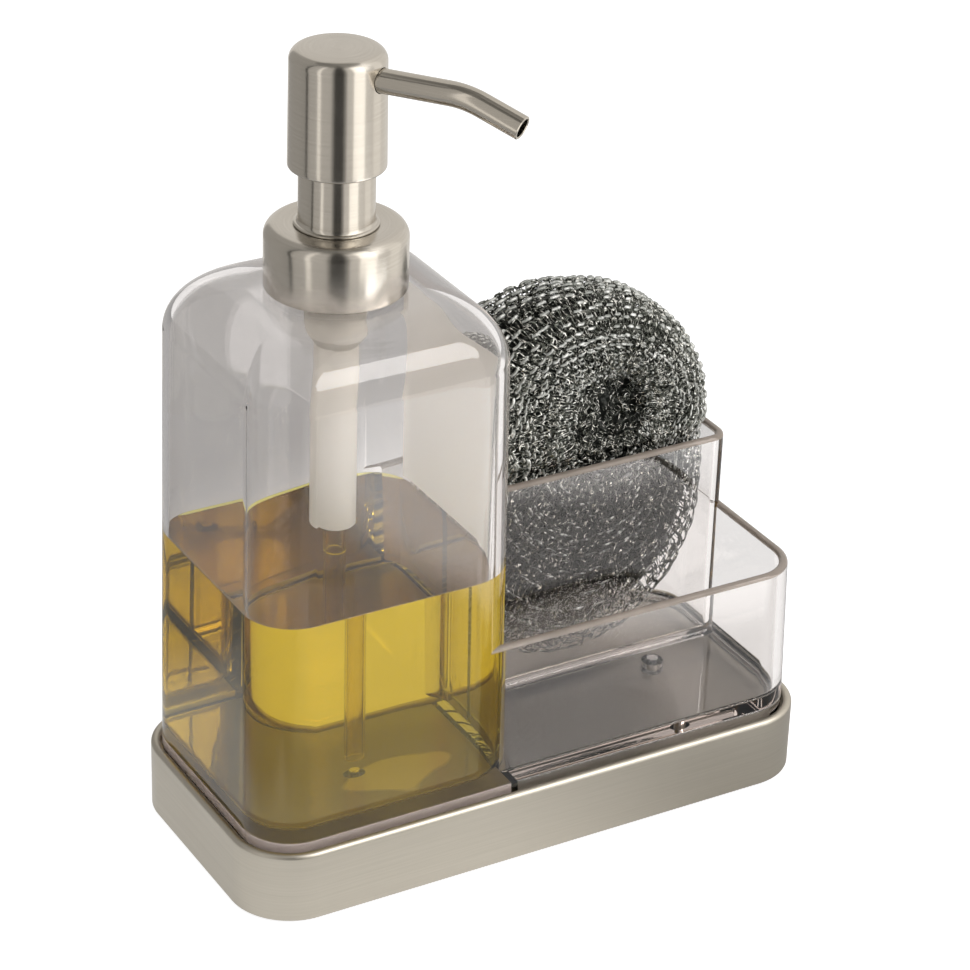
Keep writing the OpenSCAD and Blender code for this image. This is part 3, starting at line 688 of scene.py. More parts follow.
def makeCollar():
    p = pump
    r, top, low, f, t = p["collarR"], p["collarTop"], p["collarLow"], p["collarRound"], p["steel"]
    hem, edge, hole, step = p["collarHem"], p["collarEdge"], p["sleeveR"] + p["holeGap"], top - p["stepDown"]
    profile = [(r - t, low + hem), (r - t + hem, low), (r - edge, low)] + arc(r - edge, low + edge, edge, -90, 0, 3)
    profile += arc(r - f, top - f, f, 0, 90, 14) + [(hole + p["stepOuter"], top), (hole + p["stepInner"], step)]
    profile += [(hole, step), (hole, top - t)] + arc(r - f, top - f, f - t, 90, 0, 10)
    return spun("collarSkin", profile, steps=p["steps"])


def makeSleeve():
    p = pump
    r, t, low, top, edge = p["sleeveR"], p["steel"], p["sleeveLow"], p["sleeveTop"], p["sleeveEdge"]
    flare = [(r + out, p["collarTop"] + up) for out, up in p["flare"]]
    return spun("sleeveSkin", [(r - t, low), (r, low)] + flare + [(r, top - edge), (r - edge, top), (r - t, top)])


def spoutMatrix():
    p = pump
    aside = Matrix.Rotation(math.radians(-p["spoutTurn"]), 4, "Z")
    rise = Matrix.Rotation(math.radians(-p["spoutRise"]), 4, "Y")
    return Matrix.Translation((pumpX, 0, p["spoutZ"])) @ (aside @ rise)


def tubeAlong(name, stops, rings, sides):
    # stops: place out, height and fall in degrees; rings: radius and shift along, one pair a stop
    placed = spoutMatrix()
    points, faces = [], []
    for (x, z, fall), (r, shift) in zip(stops, rings):
        a = math.radians(fall)
        ahead, up = Vector((math.cos(a), 0, -math.sin(a))), Vector((math.sin(a), 0, math.cos(a)))
        for k in range(sides):
            b = math.tau * k / sides
            spot = Vector((x, 0, z)) + ahead * shift + up * (r * math.sin(b)) + Vector((0, r * math.cos(b), 0))
            points.append(tuple(placed @ spot))
    count = len(stops)
    for i in range(count):
        for k in range(sides):
            n, j = (k + 1) % sides, (i + 1) % count
            faces.append((i * sides + k, i * sides + n, j * sides + n, j * sides + k))
    return meshPiece(name, points, faces)


def makeSpout():
    p = pump
    bend, start = p["spoutRise"] + p["spoutFall"], p["headR"] + p["spoutFirst"]
    path = [(p["spoutInner"], 0, 0)]
    for i, a in enumerate(turns(0, bend, p["spoutSteps"])):
        x, z = start + p["spoutBend"] * math.sin(a), -p["spoutBend"] * (1 - math.cos(a))
        path.append((x, z, bend * i / p["spoutSteps"]))
    path.append((x + p["spoutLast"] * math.cos(a), z - p["spoutLast"] * math.sin(a), bend))
    r, bore, lip = p["spoutR"], p["spoutR"] - p["spoutWall"], p["spoutLip"]
    before = len(path) - 1
    stops = path[:-1] + [path[-1]] * 4 + path[-2::-1]
    rings = [(r, 0)] * before + [(r, -lip), (r - lip, 0), (bore + lip, 0), (bore, -lip)] + [(bore, 0)] * before
    return tubeAlong("spoutTube", stops, rings, p["spoutSides"])


def makeHead():
    p = pump
    low, top, f, t, dome = p["headLow"], p["headTop"], p["headRound"], p["steel"], p["dome"]
    r0, r1, edge = p["headLowR"], p["headTopR"], p["headEdge"]
    inner = r0 - t - p["hem"]
    profile = [(0, top), (r1 - f - p["domeFrom"], top - p["domeSlope"])]
    profile += [(r1 - f - p["domeEnd"], top - dome * p["domeShare"])]
    profile += [(x, z - dome) for x, z in arc(r1 - f, top - f, f, 80, 0, 12)] + [(r0, low + p["skirt"])]
    profile += arc(r0 - edge, low + edge, edge, 0, -90, 4)
    profile += [(inner, low), (r0 - t - p["hemIn"], low + p["hemStep"]), (inner, low + p["hemTop"])]
    profile += [(x, z - dome) for x, z in arc(r1 - f, top - f, f - t, 0, 90)] + [(0, top - dome - t)]
    head = spun("headSkin", profile, steps=p["steps"], closed=False)
    # the hole that the spout leaves through
    drill = rod("drill", p["spoutR"] + p["spoutGap"], 0, p["headR"] + p["over"], 0)
    level = Matrix.Rotation(math.radians(90), 4, "Y")
    drill.data.transform(Matrix.Scale(mm, 4) @ spoutMatrix() @ level @ Matrix.Scale(1 / mm, 4))
    carve(head, [drill])
    drop(drill)
    return head


dress(makeCollar(), turnedSteel, "collar", "polished_steel", "collar_shell")
dress(makeSleeve(), turnedSteel, "collar", "polished_steel", "sleeve")
dress(makeHead(), turnedSteel, "head", "polished_steel", "head_shell")
dress(makeSpout(), tubeSteel, "head", "polished_steel", "spout")
print("pump made")


# Pump housing and dip tube, seen through the bottle

works = {
    "flangeR": 14.55, "flangeZ": 175.4, "capZ": 176.9, "topR": 8.0, "stepZ": 149.4, "lowR": 5.5, "lowZ": 94.4, "round": 0.4,
    "wall": 1.4, "boreR": 4.4, "seatZ": 101.4, "socketZ": 99.4, "seatR": 1.3, "gap": 0.05,
    "tubeR": 3.0, "tubeWall": 0.8, "tubeLow": 28.0, "tubeEdge": 0.15, "steps": 64,
}


def makeHousing():
    w = works
    topR, lowR, stepZ, capZ, lowZ, f = (w[key] for key in ("topR", "lowR", "stepZ", "capZ", "lowZ", "round"))
    socketR, innerR, boreZ = w["tubeR"] + w["gap"], topR - w["wall"], stepZ + w["wall"]
    profile = [(socketR, lowZ), (lowR - f, lowZ)] + arc(lowR - f, lowZ + f, f, -90, 0, 4)
    profile += [(lowR, stepZ - (topR - lowR)), (topR, stepZ), (topR, w["flangeZ"]), (w["flangeR"], w["flangeZ"])]
    profile += [(w["flangeR"], capZ), (innerR, capZ), (innerR, boreZ), (w["boreR"], boreZ), (w["boreR"], w["seatZ"])]
    profile += [(w["seatR"], w["seatZ"]), (w["seatR"], w["socketZ"]), (socketR, w["socketZ"])]
    return spun("pumpHousing", profile, steps=w["steps"])


def makeDipTube():
    w = works
    r, low, top, edge = w["tubeR"], w["tubeLow"], w["socketZ"] - w["gap"], w["tubeEdge"]
    bore = r - w["tubeWall"]
    return spun("dipTube", [(bore, low), (r - edge, low), (r, low + edge), (r, top), (bore, top)], steps=w["steps"])


dress(makeHousing(), milkyPlastic, "pump", "frosted_plastic", "chamber")
dress(makeDipTube(), tubePlastic, "pump", "frosted_plastic", "dip_tube")
print("housing and dip tube made")


# Knitted scourer

scourer = {
    "y": 20.14, "discs": ((36.34, 68.64, 43.34), (36.34, 92.26, 43.34), (30.5, 99.3, 37.5)), "reachSteps": 120,
    "halfThick": 12.74, "bulge": 2.0, "rimZ": 88.5, "rimUnder": 1, "rimWidth": 6, "round": 11.0, "inset": 0.5,
    "dimpleX": 45.04, "dimpleZ": 104.0, "dimpleH": 6.0, "dimpleR": 12.0, "dimpleRound": 12.0, "start": 1.6,
    "press": 1.0, "lumps": ((3, 9, 0.7), (7, 4, 0.4)), "lumpLeast": 0.3, "lumpWidth": 8, "lumpDepth": 4,
    "shadeFrom": 14, "shadeTo": 2, "shadeShare": 0.35, "glint": (0.47, 0.62),
    "pointsPerStitch": 8, "seed": 7, "coreShrink": 2.6, "coreAround": 90, "coreHalf": 24, "coreSmooth": 60,
}
# how far the outline of the discs reaches in each direction
reach = [(math.cos(a), math.sin(a), max(x * math.cos(a) + z * math.sin(a) + r for x, z, r in scourer["discs"]))
         for a in (math.tau * i / scourer["reachSteps"] for i in range(scourer["reachSteps"]))]


def inward(x, z):
    return min(h - x * c - z * n for c, n, h in reach)


def exitFrom(x, z, c, n):
    return min((h - x * a - z * b) / (c * a + n * b) for a, b, h in reach if c * a + n * b > 0.05)


def dimpleDepth(q):
    r, h, f = (scourer[key] for key in ("dimpleR", "dimpleH", "dimpleRound"))
    bowlR = (r * r + h * h) / (2 * h)
    bowlZ = bowlR - h
    rimX = math.sqrt((bowlR + f) ** 2 - (bowlZ + f) ** 2)
    if q >= rimX:
        return 0.0
    if q > rimX * (1 - f / (bowlR + f)):
        return f - math.sqrt(f * f - (rimX - q) ** 2)
    return math.sqrt(bowlR * bowlR - q * q) - bowlZ


def above(z, width=scourer["rimWidth"]):
    # 0 in the compartment, 1 over its rim
    t = min(max((z - scourer["rimZ"] + scourer["rimUnder"]) / width, 0), 1)
    return t * t * (3 - 2 * t)


def puffHalf(z):
    s = scourer
    return s["halfThick"] - s["inset"] - s["press"] * (1 - above(z)) + s["bulge"] * above(z)


def puffPoint(u, share, side, shrink=0.0):
    # share runs from the dimple's middle (0) over the rounded edge to the rim's middle line (1)
    s = scourer
    midX, midZ, r = s["dimpleX"], s["dimpleZ"], s["round"]
    c, n = math.cos(math.tau * u), math.sin(math.tau * u)
    far = exitFrom(midX, midZ, c, n) - s["inset"] - shrink
    far -= s["press"] * (1 - above(midZ + n * far))
    half = puffHalf(midZ + n * far) - shrink
    flat, bend = far - r - s["start"], r * math.pi / 2
    run = share * (flat + bend + half - r)
    if run < flat:
        t = s["start"] + run
    elif run < flat + bend:
        t = far - r + r * math.sin((run - flat) / r)
    else:
        t = far
    x, z = midX + c * t, midZ + n * t
    half = puffHalf(z) - shrink
    if run > flat + bend:
        y = max(0.0, half - r - (run - flat - bend))
    else:
        near = min(max(inward(x, z) - s["inset"] - shrink, 0), r)
        y = half - r + math.sqrt(max(r * r - (r - near) ** 2, 0)) - dimpleDepth(t)
    lump = sum(noise.noise(Vector((x, apart * side, z)) / size) * amount for apart, size, amount in s["lumps"])
    free = s["lumpLeast"] + (1 - s["lumpLeast"]) * above(z, s["lumpWidth"])
    return x, s["y"] + side * (y + lump * free * min(1.0, y / s["lumpDepth"])), z


def makePuff(name, shrink=0.0, around=180, half=40):
    # the surface that the wire is knitted over; its map runs round (u) and from dimple to dimple (v)
    rows = [(j / half, -1) for j in range(half + 1)] + [(1 - j / half, 1) for j in range(1, half + 1)]
    points, spots, faces = [], [], []
    for j, (share, side) in enumerate(rows):
        for i in range(around + 1):
            points.append(puffPoint(i / around % 1.0, share, side, shrink))
            spots.append((i / around, j / (len(rows) - 1)))
            if i < around and j < len(rows) - 1:
                a = j * (around + 1) + i
                faces.append((a, a + around + 1, a + around + 2, a + 1))
    mesh = newMesh(name, points, faces)
    layer = mesh.uv_layers.new(name="knit")
    for loop in mesh.loops:
        layer.data[loop.index].uv = spots[loop.vertex_index]
    mesh.shade_smooth()
    return newObject(name, mesh)


# Steps that the scourer's trees share

def puffMap(tree):
    return get(tree, "GeometryNodeInputNamedAttribute", {"Name": "knit"}, "Attribute", data_type="FLOAT_VECTOR")


def findOnPuff(tree, give, u, v):
    # place and normal of the puff at a spot of its map
    inputs = {"Mesh": give["Geometry"], "UV Map": puffMap(tree), "Sample UV": joinUp(tree, u, v)}
    sources = [get(tree, "GeometryNodeInput" + kind) for kind in ("Position", "Normal")]
    return [get(tree, "GeometryNodeSampleUVSurface", {**inputs, "Value": source}, "Value", data_type="FLOAT_VECTOR")
            for source in sources]


def layOn(tree, points, instance, **more):
    laid = get(tree, "GeometryNodeInstanceOnPoints", {"Points": points, "Instance": instance, **more})
    return get(tree, "GeometryNodeRealizeInstances", {0: laid})


def meshLine(tree, count, offset):
    return get(tree, "GeometryNodeMeshLine", {"Count": count, "Offset": offset})


def cutLine(tree, start, end, count):
    line = get(tree, "GeometryNodeCurvePrimitiveLine", {"Start": (start, 0, 0), "End": (end, 0, 0)})
    return get(tree, "GeometryNodeResampleCurve", {"Curve": line, "Count": count})


def circle(tree, sides, radius):
    return get(tree, "GeometryNodeCurvePrimitiveCircle", {"Resolution": sides, "Radius": radius})


def centred(tree, colour, amount):
    return vectors(tree, "SCALE", vectors(tree, "SUBTRACT", colour, (0.5, 0.5, 0.5)), amount)


def moved(tree, curve, **where):
    return get(tree, "GeometryNodeSetPosition", {"Geometry": curve, **where})


def turnedFlat(tree, curve, normal, turn):
    # the ribbon lies flat on the surface, but for its turn
    lie = get(tree, "GeometryNodeSetCurveNormal", {"Curve": curve, "Normal": normal}, mode="FREE")
    return lie, maths(tree, "ADD", turn, math.pi / 2)


def painted(tree, mesh, give, out):
    feed(tree, out, {0: get(tree, "GeometryNodeSetMaterial", {"Geometry": mesh, "Material": give["Material"]})})


def swept(tree, curve, profile):
    return get(tree, "GeometryNodeCurveToMesh", {"Curve": curve, "Profile Curve": profile, "Fill Caps": True})


def ribbon(tree, curve, tilt, give, out):
    # a thin three-sided strip along the curve
    tilted = get(tree, "GeometryNodeSetCurveTilt", {"Curve": curve, "Tilt": tilt})
    size = joinUp(tree, give["Wire Width"], give["Wire Thickness"], 1)
    flat = get(tree, "GeometryNodeTransform", {"Geometry": circle(tree, 3, 0.5), "Scale": size})
    painted(tree, swept(tree, tilted, flat), give, out)


def newGrowth(name, **inputs):
    # a tree that takes a piece and gives the wire that grows on it
    inputs = {"Geometry": "Geometry", **spaced(inputs), "Material": "Material"}
    return newTree(name, "GeometryNodeTree", inputs, {"Geometry": "Geometry"})


def makeDashTree():
    # short flat pieces of wire in level rows, each bowed and sunk at its ends
    tree, give, out = newGrowth(
        "dashesOver", Rows=12, Columns=60, Kept=0.8, First=0.22, Last=0.62, Lift=0.0011, Sink=0.0007, Bow=0.16, Stray=0.45,
        Lean=0.8, Wire_Width=0.00115, Wire_Thickness=0.0002, Seed=3)
    do = functools.partial(maths, tree)
    spots = layOn(tree, meshLine(tree, give["Rows"], (0, 1, 0)), meshLine(tree, give["Columns"], (1, 0, 0)))
    odds = {"Probability": give["Kept"], "Seed": give["Seed"]}
    keep = get(tree, "FunctionNodeRandomValue", odds, 3, data_type="BOOLEAN")
    dashes = layOn(tree, spots, cutLine(tree, 0.14, 0.86, 5), Selection=keep)

    x, y, z = splitUp(tree, get(tree, "GeometryNodeInputPosition"))
    row, along = do("ROUND", y), do("SUBTRACT", do("FRACT", x), 0.5)
    ends = do("MULTIPLY", do("MULTIPLY", along, along), 4.0)
    which = joinUp(tree, do("FLOOR", x), row, give["Seed"])
    chance = get(tree, "ShaderNodeTexWhiteNoise", {"Vector": which}, "Color", noise_dimensions="3D")
    first, second, third = (do("SUBTRACT", luck, 0.5) for luck in splitUp(tree, chance))
    # each row starts half a column further, and its pieces stray a little
    half = do("MULTIPLY", do("MODULO", row, 2.0), 0.5)
    u = do("ADD", do("ADD", x, half), do("MULTIPLY", first, give["Stray"]))
    u = do("WRAP", do("DIVIDE", u, give["Columns"]), 0.9999, 0.0001)
    v = do("ADD", do("ADD", row, 0.5), do("MULTIPLY", second, give["Stray"]))
    v = do("ADD", v, do("MULTIPLY", do("SUBTRACT", ends, 0.5), give["Bow"]))
    length = do("SUBTRACT", give["Last"], give["First"])
    v = do("ADD", do("MULTIPLY", do("DIVIDE", v, give["Rows"]), length), give["First"])
    place, normal = findOnPuff(tree, give, u, v)
    height = do("SUBTRACT", give["Lift"], do("MULTIPLY", ends, give["Sink"]))
    final = vectors(tree, "ADD", place, vectors(tree, "SCALE", normal, height))
    curve, turn = turnedFlat(tree, moved(tree, dashes, Position=final), normal, do("MULTIPLY", third, give["Lean"]))
    ribbon(tree, curve, turn, give, out)
    return tree


def makeKnitTree():
    tree, give, out = newGrowth(
        "knitOver", Courses=6, Stitches=64, Points=513, First=0.0, Last=1.0, Loop_Swing=0.2, Loop_Height=0.78,
        Loop_Depth=0.0004, Lift=0.0, Tangle=0.0009, Tangle_Size=260.0, Wire_Width=0.0005, Wire_Thickness=0.00016, Twist=5.0,
        Seed=0.0)
    do = functools.partial(maths, tree)
    # one level line for each course; its X is the place round the puff, its Y the course
    lines = layOn(tree, meshLine(tree, give["Courses"], (0, 1, 0)), cutLine(tree, 0, 1, give["Points"]))

    u, course, z = splitUp(tree, get(tree, "GeometryNodeInputPosition"))
    phase = do("MULTIPLY", do("MULTIPLY", u, give["Stitches"]), math.tau)
    turned = do("ADD", phase, do("MULTIPLY", course, 2.4))
    twice = do("MULTIPLY", turned, 2)
    swing = do("DIVIDE", do("MULTIPLY", do("SINE", twice), give["Loop Swing"]), give["Stitches"])
    u = do("WRAP", do("ADD", u, swing), 0.9999, 0.0001)
    rise = do("MULTIPLY", do("COSINE", turned), give["Loop Height"])
    row = do("DIVIDE", do("ADD", do("ADD", course, 0.5), rise), give["Courses"])
    v = do("ADD", do("MULTIPLY", row, do("SUBTRACT", give["Last"], give["First"])), give["First"])
    place, normal = findOnPuff(tree, give, u, do("MINIMUM", do("MAXIMUM", v, 0.002), 0.998))
    depth = do("ADD", do("MULTIPLY", do("COSINE", twice), give["Loop Depth"]), give["Lift"])
    messy = noiseAt(tree, place, give["Tangle Size"], seed=give["Seed"])["Color"]
    shift = vectors(tree, "ADD", vectors(tree, "SCALE", normal, depth), centred(tree, messy, give["Tangle"]))
    final = vectors(tree, "ADD", place, shift)

    twist = noiseAt(tree, place, 500.0, seed=give["Seed"])["Fac"]
    turn = do("MULTIPLY", do("SUBTRACT", twist, 0.5), give["Twist"])
    curve, turn = turnedFlat(tree, moved(tree, lines, Position=final), normal, turn)
    ribbon(tree, curve, turn, give, out)
    return tree


def makeRingTree():
    tree, give, out = newGrowth(
        "ringsOver", Density=205000.0, Seed=1, Radius=0.00095, Lift=0.0, Tip=0.6, Tangle=0.0009, Tangle_Size=500.0,
        Wire_Width=0.00045, Wire_Thickness=0.00015, Twist=10.0, Rim_Share=0.17)
    do = functools.partial(maths, tree)
    off = do("ABSOLUTE", do("SUBTRACT", splitUp(tree, puffMap(tree))["Y"], 0.5))
    scatter = put(tree, "GeometryNodeDistributePointsOnFaces", {
        "Mesh": give["Geometry"], "Selection": do("GREATER_THAN", off, give["Rim Share"]), "Density": give["Density"],
        "Seed": give["Seed"],
    }).outputs
    place = moved(tree, scatter["Points"], Offset=vectors(tree, "SCALE", scatter["Normal"], give["Lift"]))

    tip, back = give["Tip"], do("MULTIPLY", give["Tip"], -1)
    turn, size = (get(tree, "FunctionNodeRandomValue", {0: least, 1: most, "Seed": seed}, data_type="FLOAT_VECTOR")
                  for least, most, seed in ((joinUp(tree, back, back), joinUp(tree, tip, tip, math.tau), give["Seed"]),
                                            ((0.7, 0.7, 1), (1.35, 1.1, 1), do("ADD", give["Seed"], 5))))
    spin = {0: scatter["Rotation"], 1: get(tree, "FunctionNodeEulerToRotation", {0: turn})}
    both = get(tree, "FunctionNodeRotateRotation", spin, rotation_space="LOCAL")
    rings = layOn(tree, place, circle(tree, 7, give["Radius"]), Rotation=both, Scale=size)

    messy = noiseAt(tree, get(tree, "GeometryNodeInputPosition"), give["Tangle Size"], 1.0)
    bent = moved(tree, rings, Offset=centred(tree, messy["Color"], give["Tangle"]))
    ribbon(tree, bent, do("MULTIPLY", messy["Fac"], give["Twist"]), give, out)
    return tree


def growFrom(piece, tree, name, **values):
    # runs a tree on a copy of the piece and keeps the result as a plain mesh
    grown = piece.copy()
    bpy.context.scene.collection.objects.link(grown)
    step = grown.modifiers.new("grow", "NODES")
    step.node_group = tree
    ids = {item.name: item.identifier for item in tree.interface.items_tree if item.in_out == "INPUT"}
    for key, value in spaced(values).items():
        step[ids[key]] = value
    graph = bpy.context.evaluated_depsgraph_get()
    mesh = bpy.data.meshes.new_from_object(grown.evaluated_get(graph))
    bpy.data.objects.remove(grown)
    mesh.name = name
    return newObject(name, mesh)


def wireMaterial(name, dark, light, rough, metal=1.0, shade=0.03):
    # shade: how much duller the wire is painted in the compartment than over its rim, as painted shade with fewer
    # glints
    s = scourer
    material, tree, shader = newMaterial(name)
    smear = smeared(tree, 700.0)["Smear"]
    height = splitUp(tree, objectPlace(tree))["Z"]
    low = spread(tree, height, 1.0, 0.0, (s["rimZ"] - s["shadeFrom"]) * mm, (s["rimZ"] + s["shadeTo"]) * mm)
    # the light colour where the smear passes the glint range is a painted glint; under the rim the darker colour is
    # painted shade
    glint = spread(tree, maths(tree, "MULTIPLY_ADD", low, -shade, smear), 0.0, 1.0, *s["glint"])
    shadedDark = tuple(value * s["shadeShare"] for value in dark)
    colour = blend(tree, low, blend(tree, glint, dark, light), blend(tree, glint, shadedDark, light))
    feed(tree, shader, {"Metallic": metal, "Base Color": colour, "Roughness": spread(tree, smear, *rough)})
    return material


def makeScourer():
    s = scourer
    wire = wireMaterial("scourerWire", (0.15, 0.16, 0.14), (1.0, 1.0, 0.95), (0.05, 0.2))
    # whitish half-matte wire for the dashes and spots: real wire pieces with a painted glint
    flat = wireMaterial("scourerFlatGlint", (0.42, 0.43, 0.40), (1.0, 1.0, 0.96), (0.12, 0.3), 0.4, 0.05)
    # near-black wire colour for the core, painted shade for the depth of the tangle
    deep = wireMaterial("scourerPaintedShade", (0.010, 0.011, 0.010), (0.06, 0.062, 0.058), (0.3, 0.5))
    puff = makePuff("puff")
    knitTree, dashTree, ringTree = makeKnitTree(), makeDashTree(), makeRingTree()
    pieces = []

    def grow(tree, name, material, **values):
        pieces.append(growFrom(puff, tree, name, Material=material, **values))

    # First and Last are places between the dimples
    columns = ("First", "Last", "Courses", "Stitches", "Lift", "Tangle", "Tangle_Size", "Loop_Height", "Wire_Width")
    knits = {
        "scourerFront": (0.12, 0.30, 6, 64, 0.0000, 0.0012, 260.0, 0.85, 0.0006),
        "scourerRim": (0.29, 0.71, 12, 66, 0.0005, 0.0007, 200.0, 0.62, 0.0010),
        "scourerRimUnder": (0.27, 0.73, 14, 78, -0.0008, 0.0010, 230.0, 0.7, 0.0007),
        "scourerBack": (0.70, 0.88, 6, 64, 0.0000, 0.0012, 260.0, 0.85, 0.0006),
    }
    for k, (name, row) in enumerate(knits.items()):
        values = dict(zip(columns, row))
        points = values["Stitches"] * s["pointsPerStitch"] + 1
        grow(knitTree, name, wire, Points=points, Seed=float(s["seed"] + k), **values)
    grow(dashTree, "scourerDashes", flat, Seed=s["seed"])
    # small bright spots of wire on both faces, their brightness a painted glint
    for name, first, last in (("scourerSpots", 0.09, 0.28), ("scourerSpotsBack", 0.72, 0.91)):
        grow(dashTree, name, flat, Columns=74, Kept=0.34, First=first, Last=last, Lift=0.0009, Sink=0.0006, Stray=0.9,
             Lean=1.6, Wire_Width=0.0008, Seed=s["seed"] + 20)
    # lift and tip of loose rings
    rings = {"scourerRings": (0.0, 0.7), "scourerRingsUnder": (-0.0009, 0.8), "scourerRingsDeep": (-0.0019, 1.0)}
    for k, (name, (lift, tip)) in enumerate(rings.items()):
        grow(ringTree, name, wire, Seed=s["seed"] + 10 + k, Lift=lift, Tip=tip)
    for piece in pieces:
        print(piece.name, sum(len(face.vertices) - 2 for face in piece.data.polygons), "triangles")
        settle(piece, "scourer", "scourer_steel", "scourer")
    drop(puff)
    # a dark inner puff under the wire, painted shade for the depth of the tangle
    core = makePuff("scourerShadeCore", s["coreShrink"], s["coreAround"], s["coreHalf"])
    tidyMesh(core.data, s["coreSmooth"], close=True)
    dress(core, deep, "scourer", "scourer_steel", "scourer")


makeScourer()
print("scourer made")


# Return spring, wound to the height of the frame's spring

spring = {"radius": 3.3, "wireR": 0.35, "curls": 9.0, "pointsPerCurl": 24, "wireSides": 8, "stroke": 14.0, "smooth": 60}


def makeSpringTree():
    tree, give, out = newGrowth("woundWire", Curls="Float", Radius="Float", Height="Float", Wire_Radius="Float",
                                Low="Vector")
    coil = get(tree, "GeometryNodeCurveSpiral", {
        "Resolution": spring["pointsPerCurl"], "Rotations": give["Curls"], "Start Radius": give["Radius"],
        "End Radius": give["Radius"], "Height": give["Height"],
    })
    wire = swept(tree, coil, circle(tree, spring["wireSides"], give["Wire Radius"]))
    place = get(tree, "GeometryNodeTransform", {"Geometry": wire, "Translation": give["Low"]})
    painted(tree, get(tree, "GeometryNodeRealizeInstances", {0: place}), give, out)
    return tree


def makeSpring():
    s = spring
    bottom, top = (corner[2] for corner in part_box("return_spring"))
    tall, wireR = top - bottom, s["wireR"] * mm
    seat = meshPiece("springSeat", [(0, 0, 0)], [])
    piece = growFrom(seat, makeSpringTree(), "returnSpring", Curls=s["curls"], Radius=s["radius"] * mm, Wire_Radius=wireR,
                     Height=tall - 2 * wireR, Low=(pumpX * mm, 0.0, bottom + wireR), Material=springSteel)
    drop(seat)
    tidyMesh(piece.data, s["smooth"])
    dress(piece, springSteel, "pump", "spring_steel", "return_spring")
    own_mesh(piece)


makeSpring()
print("spring made")


# CAD nodes that stay

carried = (
    (whitePlastic, ("neck_gasket", "chamber_cap", "ball_cage", "piston", "stem", "collar_nut", "head_core")),
    (springSteel, ("base_screws", "inlet_ball")), (padRubber, ("base_pad", "piston_seal")), (darkPlastic, ("base_plate",)),
)
for material, names in carried:
    for name in names:
        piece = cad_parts[name]
        if piece.material_slots:
            for place in piece.material_slots:
                place.material = material
        else:
            piece.data.materials.append(material)
print("carried nodes dressed:", sum(len(names) for material, names in carried))


# Studio: floor, white world, lamps and the cards that the steel mirrors

studio = {
    "floorSize": 6.0, "floorTone": 0.5, "floorGlow": 0.8,
    "fall": (0.10, 0.21), "nearGlow": 0.55, "fallGlow": 0.02, "leftShare": 0.3, "leftTurn": (-0.125, -0.09),
    "glossLeft": 0.55, "glossRight": 0.0, "glossTurn": (-0.02, 0.07), "glossReach": (0.03, 0.07),
    "poolPlace": (0.150, -0.225, 0), "poolR": 0.122, "poolEdge": 0.03, "poolGlow": 2.2,
    "worldDiffuse": 0.55, "insideGain": 0.9, "deepLoss": 0.42, "deepAfter": 2.5, "lampDeep": 0.4, "lampAfter": 4.5,
    "aim": (0, 0, 0.09), "through": (0.9, 0.88, 0.86),
    "cardR": 0.28, "cardHeight": 0.75, "cardStep": 4, "cardTint": (1.0, 0.97, 0.93),
    "lidRise": 150, "lidTone": 0.16, "lidTint": (1.0, 0.97, 0.92),
}
# place, size and power
lamps = {"key": ((0.75, -1.0, 1.15), 0.9, 16.0), "fill": ((-1.2, -0.6, 0.9), 1.2, 4.0)}

# the ring of cards round the pump's axis: start and end in degrees from +X, tone and lower edge
cards = (
    (-131, -126, 0.3, 2), (-126, -104, 0.06, 2), (-104, -98, 0.3, 2), (-98, -82, 0.8, 2), (-82, -54, 1.7, 30),
    (-54, -30, 0.85, 30), (-30, -4, 1.1, 2), (-4, 30, 0.9, 2), (30, 90, 0.8, 2), (90, 150, 0.42, 2), (150, 166, 0.40, 2),
    (166, 172, 0.06, 2), (172, 196, 0.55, 2), (196, 204, 1.2, 2), (204, 229, 0.6, 2),
)


def rayKinds(tree):
    return put(tree, "ShaderNodeLightPath").outputs


def makeFloor():
    s = studio
    half = s["floorSize"] / 2 / mm
    corners = [(x * half, y * half, 0) for x, y in ((-1, -1), (1, -1), (1, 1), (-1, 1))]
    floor = meshPiece("floor", corners, [(0, 1, 2, 3)])
    material, tree, shader = newMaterial("floorWhite")
    do = functools.partial(maths, tree)
    rays, place = rayKinds(tree), objectPlace(tree)
    x, y, z = splitUp(tree, place)
    through = do("GREATER_THAN", rays["Transmission Depth"], 0.5)
    # painted shade on the table as it shows through the plastic: its glow falls off behind the piece and left of the
    # base
    tone = spread(tree, y, s["nearGlow"], s["fallGlow"], *s["fall"], smooth=True)
    left = spread(tree, x, s["leftShare"], 1.0, *s["leftTurn"], smooth=True)
    glow = do("MULTIPLY", do("MULTIPLY", tone, left), through)
    glow = do("MAXIMUM", glow, do("MULTIPLY", rays["Is Camera Ray"], s["floorGlow"]))
    # what metal mirrors of the table, with painted light brighter to the left
    turn = spread(tree, x, s["glossLeft"], s["glossRight"], *s["glossTurn"], smooth=True)
    away = do("MAXIMUM", *(do("SUBTRACT", do("ABSOLUTE", value), base[key] * mm)
                           for value, key in ((x, "halfLength"), (y, "halfWidth"))))
    close = spread(tree, away, 1.0, 0.0, *s["glossReach"], smooth=True)
    mirrored = do("MULTIPLY", do("MULTIPLY", rays["Is Glossy Ray"], turn), close)
    # the lamp's bright pool on the table, which only mirrored and refracted rays see
    far = vectors(tree, "DISTANCE", place, s["poolPlace"])
    pool = spread(tree, far, s["poolGlow"], 0.0, s["poolR"] - s["poolEdge"], s["poolR"], smooth=True)
    bent = do("MAXIMUM", rays["Is Glossy Ray"], through)
    feed(tree, shader, {
        "Base Color": (*(s["floorTone"],) * 3, 1), "Roughness": 0.9, "Specular IOR Level": 0.0,
        "Emission Color": (1, 1, 1, 1), "Emission Strength": do("MULTIPLY_ADD", pool, bent, do("MAXIMUM", glow, mirrored)),
    })
    floor.data.materials.append(material)


